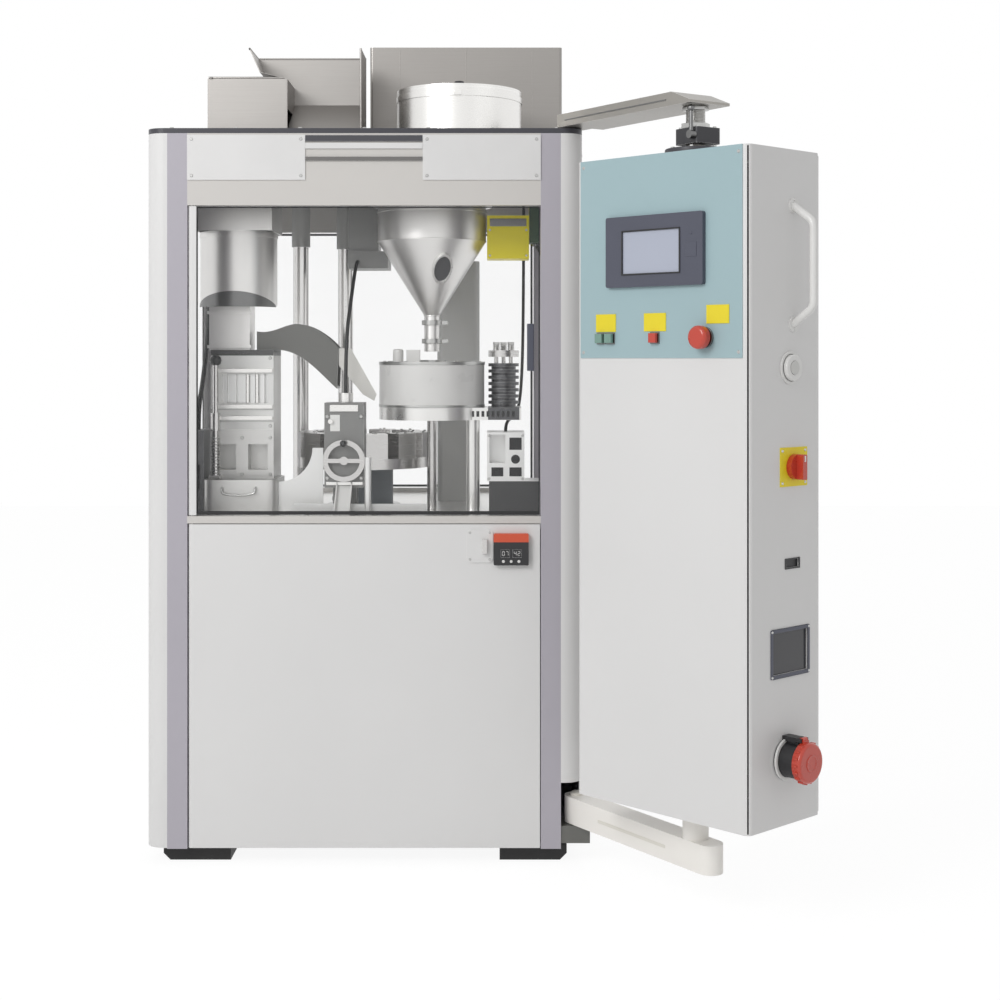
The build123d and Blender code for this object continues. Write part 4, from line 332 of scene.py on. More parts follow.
def zoned(name, base, zones, bump=0.08):
    """A base finish (colour, roughness, metal) with other finishes inside boxes."""
    look = Look(name)
    patch = look.noise(look.place(), 6.0, 3.0)
    fine = look.noise(look.place(), 420.0, 2.0)
    colour = look.mix(patch, shade(base[0], 0.94), shade(base[0], 1.05))
    rough, metal = patch * 0.1 + (base[1] - 0.05), base[2]
    for spans, (tint, dull, metallic) in zones:
        mask = inside(look, spans)
        colour = look.mix(mask, colour, look.mix(patch, shade(tint, 0.92), shade(tint, 1.07)))
        rough = rough * (1.0 - mask) + mask * dull
        metal = mask * metallic + (1.0 - mask) * metal
    # Sharp edges are mixed towards light grey: a painted highlight.
    return look.finish(
        Base_Color=look.mix(look.edges(0.0009) * 0.4, colour, (0.8, 0.8, 0.8)),
        Roughness=rough, Metallic=metal, Normal=look.bump(fine, bump, 0.0003),
    )


print("zoned finish ready")

# %% [markdown]
# ## Finishes on the CAD nodes
# The CAD pieces already have their true shape, so most of them only need a better material in their slots.
# The groups below follow how the machine is made: coated panels, brushed hoppers, turned or ground working
# parts, castings in the drive bay, and plastic controls on the pendant.

# %% Assign finishes
WHITE = (0.72, 0.715, 0.71)
LILAC = (0.43, 0.41, 0.455)
TEAL = (0.345, 0.475, 0.505)
RED = (0.52, 0.045, 0.022)
YELLOW = (0.80, 0.66, 0.02)
white_coat = powder_coat("white_coat", WHITE)
lilac_coat = powder_coat("lilac_coat", LILAC)
header_coat = powder_coat("header_coat", (0.60, 0.58, 0.555))
dark_coat = powder_coat("dark_coat", (0.045, 0.045, 0.055), 0.35)
grey_coat = powder_coat("grey_coat", (0.135, 0.135, 0.125), 0.38)
cream_coat = powder_coat("cream_coat", (0.74, 0.715, 0.65))
teal_coat = powder_coat("teal_coat", TEAL, 0.4)
hopper_steel = brushed_steel("hopper_steel", (0.36, 0.345, 0.33), "X", 0.38)
funnel_steel = brushed_steel("funnel_steel", (0.80, 0.79, 0.775), "Z", 0.34)
cover_steel = brushed_steel("cover_steel", (0.33, 0.315, 0.30), "X", 0.38)
table_steel = brushed_steel("table_steel", (0.86, 0.855, 0.84), "X", 0.3)
lid_steel = brushed_steel("lid_steel", (0.86, 0.85, 0.83), "X", 0.25)
ground_steel = turned_metal("ground_steel", (0.60, 0.59, 0.58))
dark_turned = turned_metal("dark_turned", (0.20, 0.20, 0.20), 0.3)
anodised = turned_metal("anodised", (0.72, 0.72, 0.71), 0.32)
cast_paint = casting("cast_paint", (0.20, 0.22, 0.24))
black_rubber = moulded("black_rubber", (0.012, 0.012, 0.012), 0.6, 300.0, 0.3)
belt_rubber = moulded("belt_rubber", (0.02, 0.02, 0.02), 0.7, 200.0, 0.3)
black_plastic = moulded("black_plastic", (0.018, 0.018, 0.02), 0.4)
bezel_plastic = moulded("bezel_plastic", (0.075, 0.08, 0.11), 0.4, 500.0, 0.15)
white_plastic = moulded("white_plastic", (0.74, 0.735, 0.72), 0.3, coat=0.2)
yellow_plate = moulded("yellow_plate", YELLOW, 0.45)
green_cap = moulded("green_cap", (0.17, 0.30, 0.25), 0.3, coat=0.3)
red_cap = moulded("red_cap", RED, 0.28, coat=0.4)
clear_pane = clear_sheet("clear_pane", (0.93, 0.95, 0.95), 0.05)
print("plain finishes ready")

# %% Finishes in zones
HIGH = 9000.0
PAINT = (WHITE, 0.4, 0.0)
DARK_STEEL = ((0.10, 0.10, 0.105), 0.38, 0.6)
# Between the placards, two dark bands are painted shade in the grooves of the header trim.
groove_shade_x = {"X": (-136.9, 136.9)}
trim_coat = zoned("trim_coat", PAINT, [
    ({**groove_shade_x, "Z": (1683.0, 1700.0)}, ((0.06, 0.06, 0.07), 0.3, 0.0)),
    ({**groove_shade_x, "Z": (1639.0, 1650.0)}, ((0.16, 0.155, 0.15), 0.35, 0.3)),
])
counter_case = zoned("counter_case", ((0.018, 0.018, 0.02), 0.3, 0.0), [
    ({"Z": (752.0, 774.0)}, ((0.62, 0.085, 0.035), 0.35, 0.0)),
])
level_case = zoned("level_case", ((0.98, 0.83, 0.01), 0.4, 0.0), [
    ({"X": (389.2, HIGH)}, ((0.03, 0.075, 0.035), 0.5, 0.0)),
])
arm_coat = zoned("arm_coat", ((0.90, 0.875, 0.83), 0.4, 0.0), [
    ({"Z": (1600.0, HIGH)}, ((0.35, 0.335, 0.31), 0.36, 0.8)),
    ({"Z": (1635.0, 1671.0)}, ((0.045, 0.045, 0.05), 0.4, 0.3)),
])
sorter_metal = zoned("sorter_metal", ((0.66, 0.655, 0.64), 0.36, 0.7), [
    ({"Z": (1186.0, 1201.0)}, ((0.09, 0.09, 0.09), 0.4, 0.4)),
    ({"Z": (1070.0, 1140.0), "X": (-364.0, -251.0)}, ((0.30, 0.31, 0.32), 0.25, 0.9)),
    ({"X": (-500.0, -402.0)}, ((0.24, 0.24, 0.25), 0.5, 0.1)),
    ({"X": (-391.0, -366.0), "Y": (-260.0, -230.5)}, ((0.62, 0.61, 0.6), 0.2, 1.0)),
    ({"Z": (1005.0, 1186.0), "X": (-391.0, -238.0), "Y": (-231.0, -229.5)}, ((0.92, 0.92, 0.90), 0.4, 0.0)),
])
doser_metal = zoned("doser_metal", ((0.78, 0.775, 0.76), 0.28, 0.9), [
    ({"X": (287.5, 364.5), "Z": (1028.5, 1168.0)}, DARK_STEEL),
    ({"Y": (100.0, 200.0)}, ((0.55, 0.55, 0.54), 0.45, 0.1)),
])
station_metal = zoned("station_metal", ((0.76, 0.76, 0.75), 0.35, 0.7), [
    ({"X": (-103.1, -7.9), "Y": (-331.0, -262.0)}, ((0.21, 0.21, 0.205), 0.42, 0.35)),
    ({"X": (-89.0, -66.0), "Z": (1005.0, 1044.0), "Y": (-331.0, -329.9)}, ((0.75, 0.75, 0.73), 0.3, 0.1)),
    ({"X": (289.0, 416.0), "Z": (799.0, 878.0), "Y": (-231.0, -111.0)}, ((0.06, 0.06, 0.062), 0.45, 0.2)),
])
chute_coat = zoned("chute_coat", ((0.15, 0.15, 0.142), 0.36, 0.45), [
    ({"X": (-81.0, 40.0)}, ((0.62, 0.61, 0.58), 0.3, 0.6)),
])
glazing = zoned("glazing", ((0.42, 0.45, 0.54), 0.12, 0.0), [
    ({"Z": (0.0, 1000.0)}, ((0.05, 0.05, 0.055), 0.15, 0.0)),
])
frame_metal = zoned("frame_metal", ((0.80, 0.79, 0.78), 0.2, 0.9), [
    ({"Z": (1470.0, HIGH), "X": (-300.0, -72.0)}, ((0.50, 0.50, 0.49), 0.4, 0.2)),
    ({"Z": (1400.0, HIGH), "X": (-71.0, 60.0)}, ((0.26, 0.26, 0.255), 0.4, 0.3)),
])
print("zoned finishes ready")

# %% [markdown]
# The front guard is one node: a painted hinge stile and a clear leaf. Its mask goes to Alpha as well, so the
# stile is solid while the leaf keeps its veil.

# %% Front guard
def guard_sheet(name, stile_edge):
    look = Look(name)
    wipes = look.noise(look.place(scale=(1.0, 1.0, 3.0)), 5.0, 4.0)
    stile = look.axis(look.place(), "X").below(stile_edge * MM)
    veil = wipes * 0.015 + look.edges(0.002) * 0.2 + 0.012
    return look.finish(
        Base_Color=look.mix(stile, (0.93, 0.95, 0.95), WHITE),
        Roughness=stile * 0.4 + wipes * 0.1 + 0.02,
        Alpha=veil * (1.0 - stile) + stile,
    )


guard_pane = guard_sheet("guard_pane", -390.5)

# %% Dress the nodes
finishes = {
    white_coat: ["side_panels", "lower_door", "rear_door", "pendant_shell", "pendant_door"],
    trim_coat: ["header_trim"],
    lilac_coat: ["base_frame"],
    header_coat: ["header_panels"],
    dark_coat: ["deck", "swivel_disc"],
    grey_coat: ["arm_brackets"],
    chute_coat: ["capsule_chute"],
    arm_coat: ["swing_arms"],
    teal_coat: ["operator_panel"],
    hopper_steel: ["capsule_hopper"],
    funnel_steel: ["powder_funnel", "capsule_bin"],
    cover_steel: ["rear_cover"],
    table_steel: ["work_table"],
    station_metal: ["station_blocks"],
    sorter_metal: ["sorter"],
    doser_metal: ["doser_stand"],
    frame_metal: ["upper_frame"],
    lid_steel: ["powder_drum", "powder_lid"],
    ground_steel: ["dosing_disc", "tamping_head", "funnel_stirrer", "station_handwheel",
                   "door_latch", "camshaft", "turret"],
    dark_turned: ["clamp_lever"],
    anodised: ["capsule_magazine", "control_plate"],
    cast_paint: ["index_box", "drive_motors", "vacuum_pump", "motor_pulley"],
    black_rubber: ["feet"],
    belt_rubber: ["drive_belt"],
    black_plastic: ["inlet_socket"],
    counter_case: ["batch_counter"],
    glazing: ["pendant_glazing"],
    bezel_plastic: ["display_bezel"],
    white_plastic: ["doser_bowl", "outlet_chute", "reset_button", "side_handle"],
    yellow_plate: ["legend_plates"],
    level_case: ["level_controller"],
    green_cap: ["start_button", "jog_button"],
    red_cap: ["stop_button", "stop_mushroom", "main_switch", "inlet_cap"],
    guard_pane: ["front_guard"],
    clear_pane: ["rear_guard", "side_windows"],
}


def wear(node, material):
    """Puts one material on a whole CAD node."""
    slots = frame["nodes"][node].material_slots
    for slot in slots:
        slot.material = material


for material, nodes in finishes.items():
    for node in nodes:
        wear(node, material)
dressed = {node for nodes in finishes.values() for node in nodes}
print("nodes without a finish:", sorted(set(frame["nodes"]) - dressed))

# %% [markdown]
# ## Small fittings
# The fittings below are bolts, gaskets, collars, springs and pipes. They are gathered into a few meshes, one
# for each body and finish, with a small helper that adds boxes, rods, rings and bent tubes to one mesh and
# then bevels its edges, because a real edge is never perfectly sharp.

# %% A mesh under construction
class Fitting:
    """Collects simple solids in one mesh, in a place of its own."""

    def __init__(self, place=None):
        self.bm = bmesh.new()
        self.place = place or Matrix.Identity(4)

    def box(self, x, y, z):
        size = Matrix.Diagonal(((x[1] - x[0]) * MM, (y[1] - y[0]) * MM, (z[1] - z[0]) * MM, 1.0))
        middle = Vector((x[0] + x[1], y[0] + y[1], z[0] + z[1])) * (MM / 2)
        bmesh.ops.create_cube(self.bm, size=1.0, matrix=self.place @ Matrix.Translation(middle) @ size)
        return self

    def turned(self, profile, start, axis, sides=32, shell=False):
        """A turned piece: (height, radius) pairs along an axis from a point, capped or joined to a shell."""
        turn = Vector(axis).to_track_quat("Z", "Y").to_matrix().to_4x4()
        base = self.place @ Matrix.Translation(Vector(start) * MM) @ turn
        rings = []
        for height, radius in profile:
            spots = [(radius * math.cos(a), radius * math.sin(a)) for a in
                     (2 * math.pi * i / sides for i in range(sides))]
            rings.append([self.bm.verts.new(base @ (Vector((x, y, height)) * MM)) for x, y in spots])
        for low, high in zip(rings, rings[1:] + rings[:1] if shell else rings[1:]):
            for i in range(sides):
                j = (i + 1) % sides
                self.bm.faces.new((low[i], low[j], high[j], high[i]))
        if not shell:
            self.bm.faces.new(rings[0][::-1])
            self.bm.faces.new(rings[-1])
        return self

    def rod(self, start, end, radius, sides=20):
        length = (Vector(end) - Vector(start)).length
        return self.turned([(0.0, radius), (length, radius)], start, Vector(end) - Vector(start), sides)

    def ring(self, centre, axis, outer, inner, thick, sides=40):
        """A flat ring with a square section."""
        turn = Vector(axis).to_track_quat("Z", "Y").to_matrix().to_4x4()
        base = self.place @ Matrix.Translation(Vector(centre) * MM) @ turn
        corners = [(outer, 0.0), (outer, thick), (inner, thick), (inner, 0.0)]
        loops = []
        for i in range(sides):
            a = 2 * math.pi * i / sides
            loops.append([self.bm.verts.new(base @ (Vector((r * math.cos(a), r * math.sin(a), h)) * MM))
                          for r, h in corners])
        for i, loop in enumerate(loops):
            after = loops[(i + 1) % sides]
            for k in range(4):
                m = (k + 1) % 4
                self.bm.faces.new((loop[k], after[k], after[m], loop[m]))
        return self

    def tube(self, points, radius, closed_ends=True, sides=14):
        """A bent round tube through points, rounded at its bends by a spline."""
        curve = bpy.data.curves.new("path", "CURVE")
        curve.dimensions = "3D"
        spline = curve.splines.new("NURBS")
        spline.points.add(len(points) - 1)
        for spot, point in zip(spline.points, points):
            spot.co = (*(self.place @ (Vector(point) * MM)), 1.0)
        spline.order_u = 3
        spline.use_endpoint_u = True
        curve.resolution_u = 8
        curve.bevel_depth = radius * MM
        curve.bevel_resolution = 3
        curve.use_fill_caps = closed_ends
        carrier = bpy.data.objects.new("path", curve)
        mesh = bpy.data.meshes.new_from_object(carrier)
        self.bm.from_mesh(mesh)
        bpy.data.objects.remove(carrier)
        bpy.data.curves.remove(curve)
        bpy.data.meshes.remove(mesh)
        return self

    def done(self, name, material, body, slot, bevel=0.4):
        bmesh.ops.remove_doubles(self.bm, verts=self.bm.verts, dist=1e-6)
        bmesh.ops.recalc_face_normals(self.bm, faces=self.bm.faces)
        mesh = bpy.data.meshes.new(name)
        self.bm.to_mesh(mesh)
        self.bm.free()
        mesh.materials.append(material)
        piece = bpy.data.objects.new(name, mesh)
        bpy.context.scene.collection.objects.link(piece)
        if bevel:
            soft = piece.modifiers.new("soft_edges", "BEVEL")
            soft.width = bevel * MM
            soft.segments = 2
            soft.limit_method = "ANGLE"
            soft.angle_limit = math.radians(50)
        mesh.shade_smooth()
        sharp = piece.modifiers.new("flats", "WEIGHTED_NORMAL")
        sharp.keep_sharp = False
        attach(piece, body)
        print(name, "rides on", body)
        return piece


joints = {joint["name"]: joint for joint in frame["joints"]}
swivel = joints["pendant_swivel"]["pos_m"]
PENDANT = Matrix.Translation((swivel[0], swivel[1], 0.0)) @ Matrix.Rotation(math.radians(-46.0), 4, "Z")
arm_root = joints["arm_swing"]["pos_m"]
ARM = Matrix.Translation((arm_root[0], arm_root[1], 0.0)) @ Matrix.Rotation(math.radians(-56.0), 4, "Z")
screw_steel = turned_metal("screw_steel", (0.5, 0.5, 0.49), 0.28)
seal_rubber = moulded("seal_rubber", (0.012, 0.012, 0.013), 0.55, 260.0, 0.2)
print("pendant stands at", [round(v, 3) for v in swivel])

# %% [markdown]
# Screws repeat more than anything else on this machine, so Geometry Nodes make them. The tree takes a cloud
# of points whose `aim` attribute says where each head looks, puts a button head with a hexagon socket on
# each point, and turns the copies into real mesh.

# %% Screw tree
def new_tree(name, sizes):
    """A node group that takes points, some sizes and a material."""
    tree = bpy.data.node_groups.new(name, "GeometryNodeTree")
    tree.interface.new_socket("Points", in_out="INPUT", socket_type="NodeSocketGeometry")
    for label, value in sizes.items():
        socket = tree.interface.new_socket(label, in_out="INPUT", socket_type="NodeSocketFloat")
        socket.default_value = value
    tree.interface.new_socket("Material", in_out="INPUT", socket_type="NodeSocketMaterial")
    tree.interface.new_socket("Result", in_out="OUTPUT", socket_type="NodeSocketGeometry")
    return tree, tree.nodes.new("NodeGroupInput")


def end_tree(tree, given, shape, turn=None):
    """Puts a shape on every point, makes it real and gives it the material."""
    new, link = tree.nodes.new, tree.links.new
    spread, real = new("GeometryNodeInstanceOnPoints"), new("GeometryNodeRealizeInstances")
    dress, result = new("GeometryNodeSetMaterial"), new("NodeGroupOutput")
    link(given.outputs["Points"], spread.inputs["Points"])
    link(shape, spread.inputs["Instance"])
    if turn:
        link(turn, spread.inputs["Rotation"])
    link(spread.outputs[0], real.inputs[0])
    link(real.outputs[0], dress.inputs["Geometry"])
    link(given.outputs["Material"], dress.inputs["Material"])
    link(dress.outputs[0], result.inputs[0])
    return tree


def screw_tree():
    tree, given = new_tree("screw_heads", {"Head Radius": 0.005, "Head Height": 0.0025})
    new, link = tree.nodes.new, tree.links.new

    def scaled(socket, factor):
        maths = new("ShaderNodeMath")
        maths.operation = "MULTIPLY"
        maths.inputs[1].default_value = factor
        link(socket, maths.inputs[0])
        return maths.outputs[0]

    def lifted(mesh, height):
        move, join = new("GeometryNodeTransform"), new("ShaderNodeCombineXYZ")
        link(height, join.inputs[2])
        link(mesh, move.inputs["Geometry"])
        link(join.outputs[0], move.inputs["Translation"])
        return move.outputs[0]

    radius, height = given.outputs["Head Radius"], given.outputs["Head Height"]
    parts = []
    for sides, low, high, tall, lift in ((14, 1.0, 0.72, 1.0, 0.5), (6, 0.46, 0.42, 0.14, 1.02)):
        cone = new("GeometryNodeMeshCone")
        cone.inputs["Vertices"].default_value = sides
        link(scaled(radius, low), cone.inputs["Radius Bottom"])
        link(scaled(radius, high), cone.inputs["Radius Top"])
        link(scaled(height, tall), cone.inputs["Depth"])
        parts.append(lifted(cone.outputs["Mesh"], scaled(height, lift - 0.5)))
    both = new("GeometryNodeJoinGeometry")
    for part in parts:
        link(part, both.inputs[0])
    aim, turn = new("GeometryNodeInputNamedAttribute"), new("FunctionNodeAlignRotationToVector")
    aim.data_type = "FLOAT_VECTOR"
    aim.inputs["Name"].default_value = "aim"
    turn.axis = "Z"
    link(aim.outputs["Attribute"], turn.inputs["Vector"])
    return end_tree(tree, given, both.outputs[0], turn.outputs[0])


SCREWS = screw_tree()


def screws(name, body, spots, radius=5.0, height=2.4, material=None, place=None):
    """Screw heads at (point, direction) pairs, as one plain mesh."""
    place = place or Matrix.Identity(4)
    cloud = bpy.data.meshes.new(name)
    cloud.from_pydata([place @ (Vector(point) * MM) for point, aim in spots], [], [])
    aims = cloud.attributes.new("aim", "FLOAT_VECTOR", "POINT")
    for i, (point, aim) in enumerate(spots):
        aims.data[i].vector = place.to_3x3() @ Vector(aim)
    values = {"Head Radius": radius * MM, "Head Height": height * MM}
    return grow(name, cloud, SCREWS, values, material or screw_steel, body)


def grow(name, cloud, tree, values, material, body):
    """Grows a tree's shapes on points, as one plain mesh that rides on a body."""
    carrier = bpy.data.objects.new(name, cloud)
    bpy.context.scene.collection.objects.link(carrier)
    growth = carrier.modifiers.new(tree.name, "NODES")
    growth.node_group = tree
    values["Material"] = material
    for item in tree.interface.items_tree:
        if item.item_type == "SOCKET" and item.in_out == "INPUT" and item.name in values:
            growth[item.identifier] = values[item.name]
    evaluated = carrier.evaluated_get(bpy.context.evaluated_depsgraph_get())
    mesh = bpy.data.meshes.new_from_object(evaluated)
    carrier.modifiers.clear()
    bpy.data.objects.remove(carrier)
    piece = bpy.data.objects.new(name, mesh)
    bpy.context.scene.collection.objects.link(piece)
    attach(piece, body)
    print(name, len(mesh.polygons), "faces, rides on", body)
    return piece


def corners_of(a, b, c, d, depth, aim, axes="xz"):
    """Four screw spots at the corners of a plate, a to b across and c to d up."""
    spots = []
    for across in (a, b):
        for up in (c, d):
            point = (across, depth, up) if axes == "xz" else (depth, across, up)
            spots.append((point, aim))
    return spots


FRONT = -430.0
REAR = 430.0
UP, AFT, OUT, RIGHT = (0, 0, 1), (0, 1, 0), (0, -1, 0), (1, 0, 0)
DECK_TOP, TABLE_TOP, SIDE_FACE = 1716.0, 800.0, 510.0
PLACARD = FRONT - 3.0
header_screws = corners_of(-402, -147, 1605, 1690, PLACARD, OUT)
header_screws += corners_of(147, 402, 1605, 1690, PLACARD, OUT)
screws("header_screws", "cabinet", header_screws, 4.0, 1.8)

# %% [markdown]
# ## Cabinet fittings
# The clear guard sits on a black gasket and has a small pull. Panels are bolted, the rear door has louvre
# blades and a quarter-turn lock, and black strips seal the doors.

# %% Guard gasket and pull
def frame_strip(fitting, x, z, y, wide):
    """Four strips round a rectangle."""
    fitting.box((x[0], x[1]), y, (z[0], z[0] + wide)).box((x[0], x[1]), y, (z[1] - wide, z[1]))
    fitting.box((x[0], x[0] + wide), y, (z[0] + wide, z[1] - wide))
    return fitting.box((x[1] - wide, x[1]), y, (z[0] + wide, z[1] - wide))


low, high = (corner * 1000.0 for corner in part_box("front_guard"))
gasket = Fitting()
frame_strip(gasket, (low.x + 19.5, high.x - 0.5), (low.z + 9.5, high.z - 9.5), (-426.5, -425.1), 2.5)
gasket.box((low.x + 19.5, high.x - 0.5), (-426.6, -425.1), (low.z + 9.5, low.z + 18))
gasket.done("guard_gasket", seal_rubber, "front_guard", "black_rubber", 0.3)
pull = Fitting().box((high.x - 30, high.x - 14), (-429.9, -425.1), (1150, 1260))
pull.done("guard_pull", bezel_plastic, "front_guard", "black_plastic", 1.5)
rear_gasket = Fitting()
frame_strip(rear_gasket, (low.x + 19.5, high.x - 0.5), (low.z + 9.5, high.z - 9.5), (425.1, 426.5), 6.0)
rear_gasket.done("rear_guard_gasket", seal_rubber, "rear_guard", "black_rubber", 0.3)
side_seal = Fitting()
for side in (-1, 1):
    x = sorted((side * 507.2, side * 509.2))
    for y in ((-320, -314), (314, 320)):
        side_seal.box(x, y, (820, 1534))
    for z in ((817, 823), (1528, 1534)):
        side_seal.box(x, (-314, 314), z)
side_seal.done("side_window_seals", seal_rubber, "cabinet", "black_rubber", 0.3)

# %% Doors
hinges = Fitting()
for z in (150, 700):
    hinges.rod((-402, -424, z), (-402, -424, z + 40), 4.6)
hinges.done("front_hinge_barrels", screw_steel, "lower_door", "bright_steel", 0.3)
blades = Fitting()
for i in range(9):
    z = 430.0 - i * 26.0
    blades.box((-209, 209), (411.5, 428.5), (z + 0.8, z + 2.4))
    blades.box((-209, 209), (411.5, 413.0), (z + 2.4, z + 5.5))
blades.done("louvre_blades", white_coat, "rear_door", "white_paint", 0.3)
lock = Fitting().turned([(0, 15), (2.5, 15), (3.2, 11), (3.2, 0.1)], (350, 430, 600), AFT)
lock.box((348, 352), (432, 434.2), (591, 609))
lock.done("rear_door_lock", black_plastic, "rear_door", "black_plastic", 0.3)
seal = Fitting()
frame_strip(seal, (-392, 405), (55, 785), (-409.9, -408.3), 8.0)
seal.done("lower_door_seal", seal_rubber, "lower_door", "black_rubber", 0.3)

# %% Cabinet screws
deck_spots = [((x, side * 420.0, DECK_TOP), UP) for x in range(-450, 451, 150) for side in (-1, 1)]
deck_spots += [((side * 500.0, y, DECK_TOP), UP) for y in range(-300, 301, 150) for side in (-1, 1)]
screws("deck_screws", "cabinet", deck_spots, 6.0, 3.0)
side_spots = [((side * SIDE_FACE, y, z), (side, 0, 0)) for side in (-1, 1) for y in (-355, 355)
              for z in (240, 500, 760, 1560, 1660)]
screws("side_screws", "cabinet", side_spots, 5.0, 2.2)
rear_door_spots = corners_of(-370, 395, 70, 770, REAR, AFT)
rear_spots = corners_of(-395, 395, 1560, 1685, REAR, AFT)
screws("rear_screws", "cabinet", rear_spots, 5.0, 2.2)
screws("rear_door_screws", "rear_door", rear_door_spots, 5.0, 2.2)

# %% [markdown]
# The batch counter has two small windows under its coloured band. Plain digit wheels show behind them, made
# from bars, so there is nothing on it but numbers.

# %% Batch counter
BARS = {"0": "abcdef", "2": "abged", "4": "fgbc", "7": "abc"}
PLACES = {"a": ((-2, 2), (4.4, 5.4)), "g": ((-2, 2), (-0.5, 0.5)), "d": ((-2, 2), (-5.4, -4.4)),
          "f": ((-3, -2), (0.5, 4.4)), "e": ((-3, -2), (-4.4, -0.5)), "b": ((2, 3), (0.5, 4.4)),
          "c": ((2, 3), (-4.4, -0.5))}
digits = Fitting()
for window, number in ((-1, "07"), (1, "42")):
    for place, digit in enumerate(number):
        x = 343.0 + window * 13.7 + (place - 0.5) * 8.5
        for bar in BARS[digit]:
            across, up = PLACES[bar]
            digits.box((x + across[0], x + across[1]), (-442.2, -441.9), (725.7 + up[0], 725.7 + up[1]))
digits.done("counter_digits", white_plastic, "lower_door", "white_plastic", 0.0)
keys = Fitting()
for x in (325, 343, 361):
    keys.turned([(0, 3.4), (1.0, 3.4), (1.4, 2.4)], (x, -444.0, 707.5), OUT, 20)
keys.done("counter_keys", white_plastic, "lower_door", "white_plastic", 0.0)
screws("lock_plate_screws", "lower_door", corners_of(247, 293, 711, 773, -433.0, OUT), 3.0, 1.4)

# %% [markdown]
# ## Hoppers on the deck
# Sheet-steel hoppers are folded. Their free edges are rolled or turned over, and their flanges are bolted
# down. The powder drum also carries a strap with a toggle, and the tall cover has a hem round its foot.

# %% Hems and rims
hems = Fitting()
hems.tube([(-385, -262, 1859), (-385, -262, 1862), (-385, -180, 1864), (-385, -96, 1859)], 4.5)
hems.rod((-392, -259, 1861.5), (-212, -259, 1861.5), 3.0)
hems.rod((-21.5, -262, DECK_TOP), (-21.5, -262, 1933), 2.6)
hems.rod((-292, -113, 1933), (-20, -113, 1933), 2.6)
hems.rod((-291.6, -262, 1932), (-291.6, -112, 1932), 2.6)
hems.done("hopper_hems", hopper_steel, "cabinet", "brushed_steel", 0.0)
cover = Fitting()
cover.box((-19, 478), (-32, -30), (DECK_TOP, 1730)).box((-19, 478), (250, 252), (DECK_TOP, 1730))
cover.box((-19, -17), (-30, 250), (DECK_TOP, 1730)).box((476, 478), (-30, 250), (DECK_TOP, 1730))
for x in (60, 230, 400):
    cover.box((x - 1, x + 1), (-30.6, -30), (1730, 1974))
cover.done("rear_cover_hem", cover_steel, "cabinet", "brushed_steel", 0.3)
cover_spots = [((x, -32.0, 1723.0), OUT) for x in range(10, 460, 75)]
cover_spots += [((x, 252.0, 1723.0), AFT) for x in range(10, 460, 75)]
screws("rear_cover_screws", "cabinet", cover_spots, 4.0, 1.8)
drum_x, drum_y = (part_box("powder_lid")[0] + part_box("powder_lid")[1]).xy * 500.0
drum = Fitting().ring((drum_x, drum_y, 1800), UP, 154.2, 151.8, 14)
drum.ring((drum_x, drum_y, 1718.9), UP, 155.5, 151.8, 5)
drum.box((drum_x - 9, drum_x + 9), (drum_y - 160, drum_y - 153.8), (1801, 1813))
drum.done("drum_band", lid_steel, "cabinet", "bright_steel", 0.5)
around = [2 * math.pi * i / 12 for i in range(12)]
flange = [((drum_x + 160.5 * math.cos(a), drum_y + 160.5 * math.sin(a), 1719.0), UP) for a in around]
screws("drum_flange_screws", "cabinet", flange, 4.0, 2.4)
lid_grip = Fitting().turned([(0, 9), (2, 13), (7, 13.5), (12, 13), (21, 11.5), (22, 8)],
                            (drum_x, drum_y, 1836), UP)
lid_grip.done("lid_grip", black_plastic, "powder_lid", "black_plastic", 0.0)

# %% [markdown]
# ## Inside the work area
# Compression springs are a spiral with a round wire, so Geometry Nodes draw each one along its own axis.

# %% Springs
def spring_tree():
    sizes = {"Coil Radius": 0.008, "Wire Radius": 0.001, "Length": 0.03, "Turns": 7.0}
    tree, given = new_tree("springs", sizes)
    new, link = tree.nodes.new, tree.links.new
    coil, wire = new("GeometryNodeCurveSpiral"), new("GeometryNodeCurvePrimitiveCircle")
    sweep = new("GeometryNodeCurveToMesh")
    coil.inputs["Resolution"].default_value = 16
    wire.inputs["Resolution"].default_value = 8
    sweep.inputs["Fill Caps"].default_value = True
    link(given.outputs["Turns"], coil.inputs["Rotations"])
    link(given.outputs["Coil Radius"], coil.inputs["Start Radius"])
    link(given.outputs["Coil Radius"], coil.inputs["End Radius"])
    link(given.outputs["Length"], coil.inputs["Height"])
    link(given.outputs["Wire Radius"], wire.inputs["Radius"])
    link(coil.outputs[0], sweep.inputs["Curve"])
    link(wire.outputs[0], sweep.inputs["Profile Curve"])
    return end_tree(tree, given, sweep.outputs[0])


SPRINGS = spring_tree()


def springs(name, body, feet, coil, wire, length, turns):
    cloud = bpy.data.meshes.new(name)
    cloud.from_pydata([Vector(foot) * MM for foot in feet], [], [])
    values = {"Coil Radius": coil * MM, "Wire Radius": wire * MM, "Length": length * MM, "Turns": turns}
    return grow(name, cloud, SPRINGS, values, screw_steel, body)


rod_turns = [math.radians(90 + 120 * i) for i in range(3)]
rod_spots = [(326.0 + 20.9 * math.cos(a), -150.0 + 20.9 * math.sin(a)) for a in rod_turns]
springs("tamping_springs", "tamping_head", [(x, y, 1199.5) for x, y in rod_spots], 7.2, 1.2, 14.0, 4.0)
springs("lever_spring", "cabinet", [(-378.0, -242.0, 890.0)], 9.2, 1.5, 100.0, 13.0)
nuts = Fitting()
for x, y in rod_spots:
    nuts.turned([(0, 8.5), (6, 8.5)], (x, y, 1213.6), UP, 6)
nuts.done("tamping_nuts", screw_steel, "tamping_head", "bright_steel", 0.4)

# %% [markdown]
# The funnel is a rolled sheet with beads round it, a sight window set in its cone, and clamps on its spout.
# The window is a round fitting squeezed to an oval and laid on the slope of the cone.

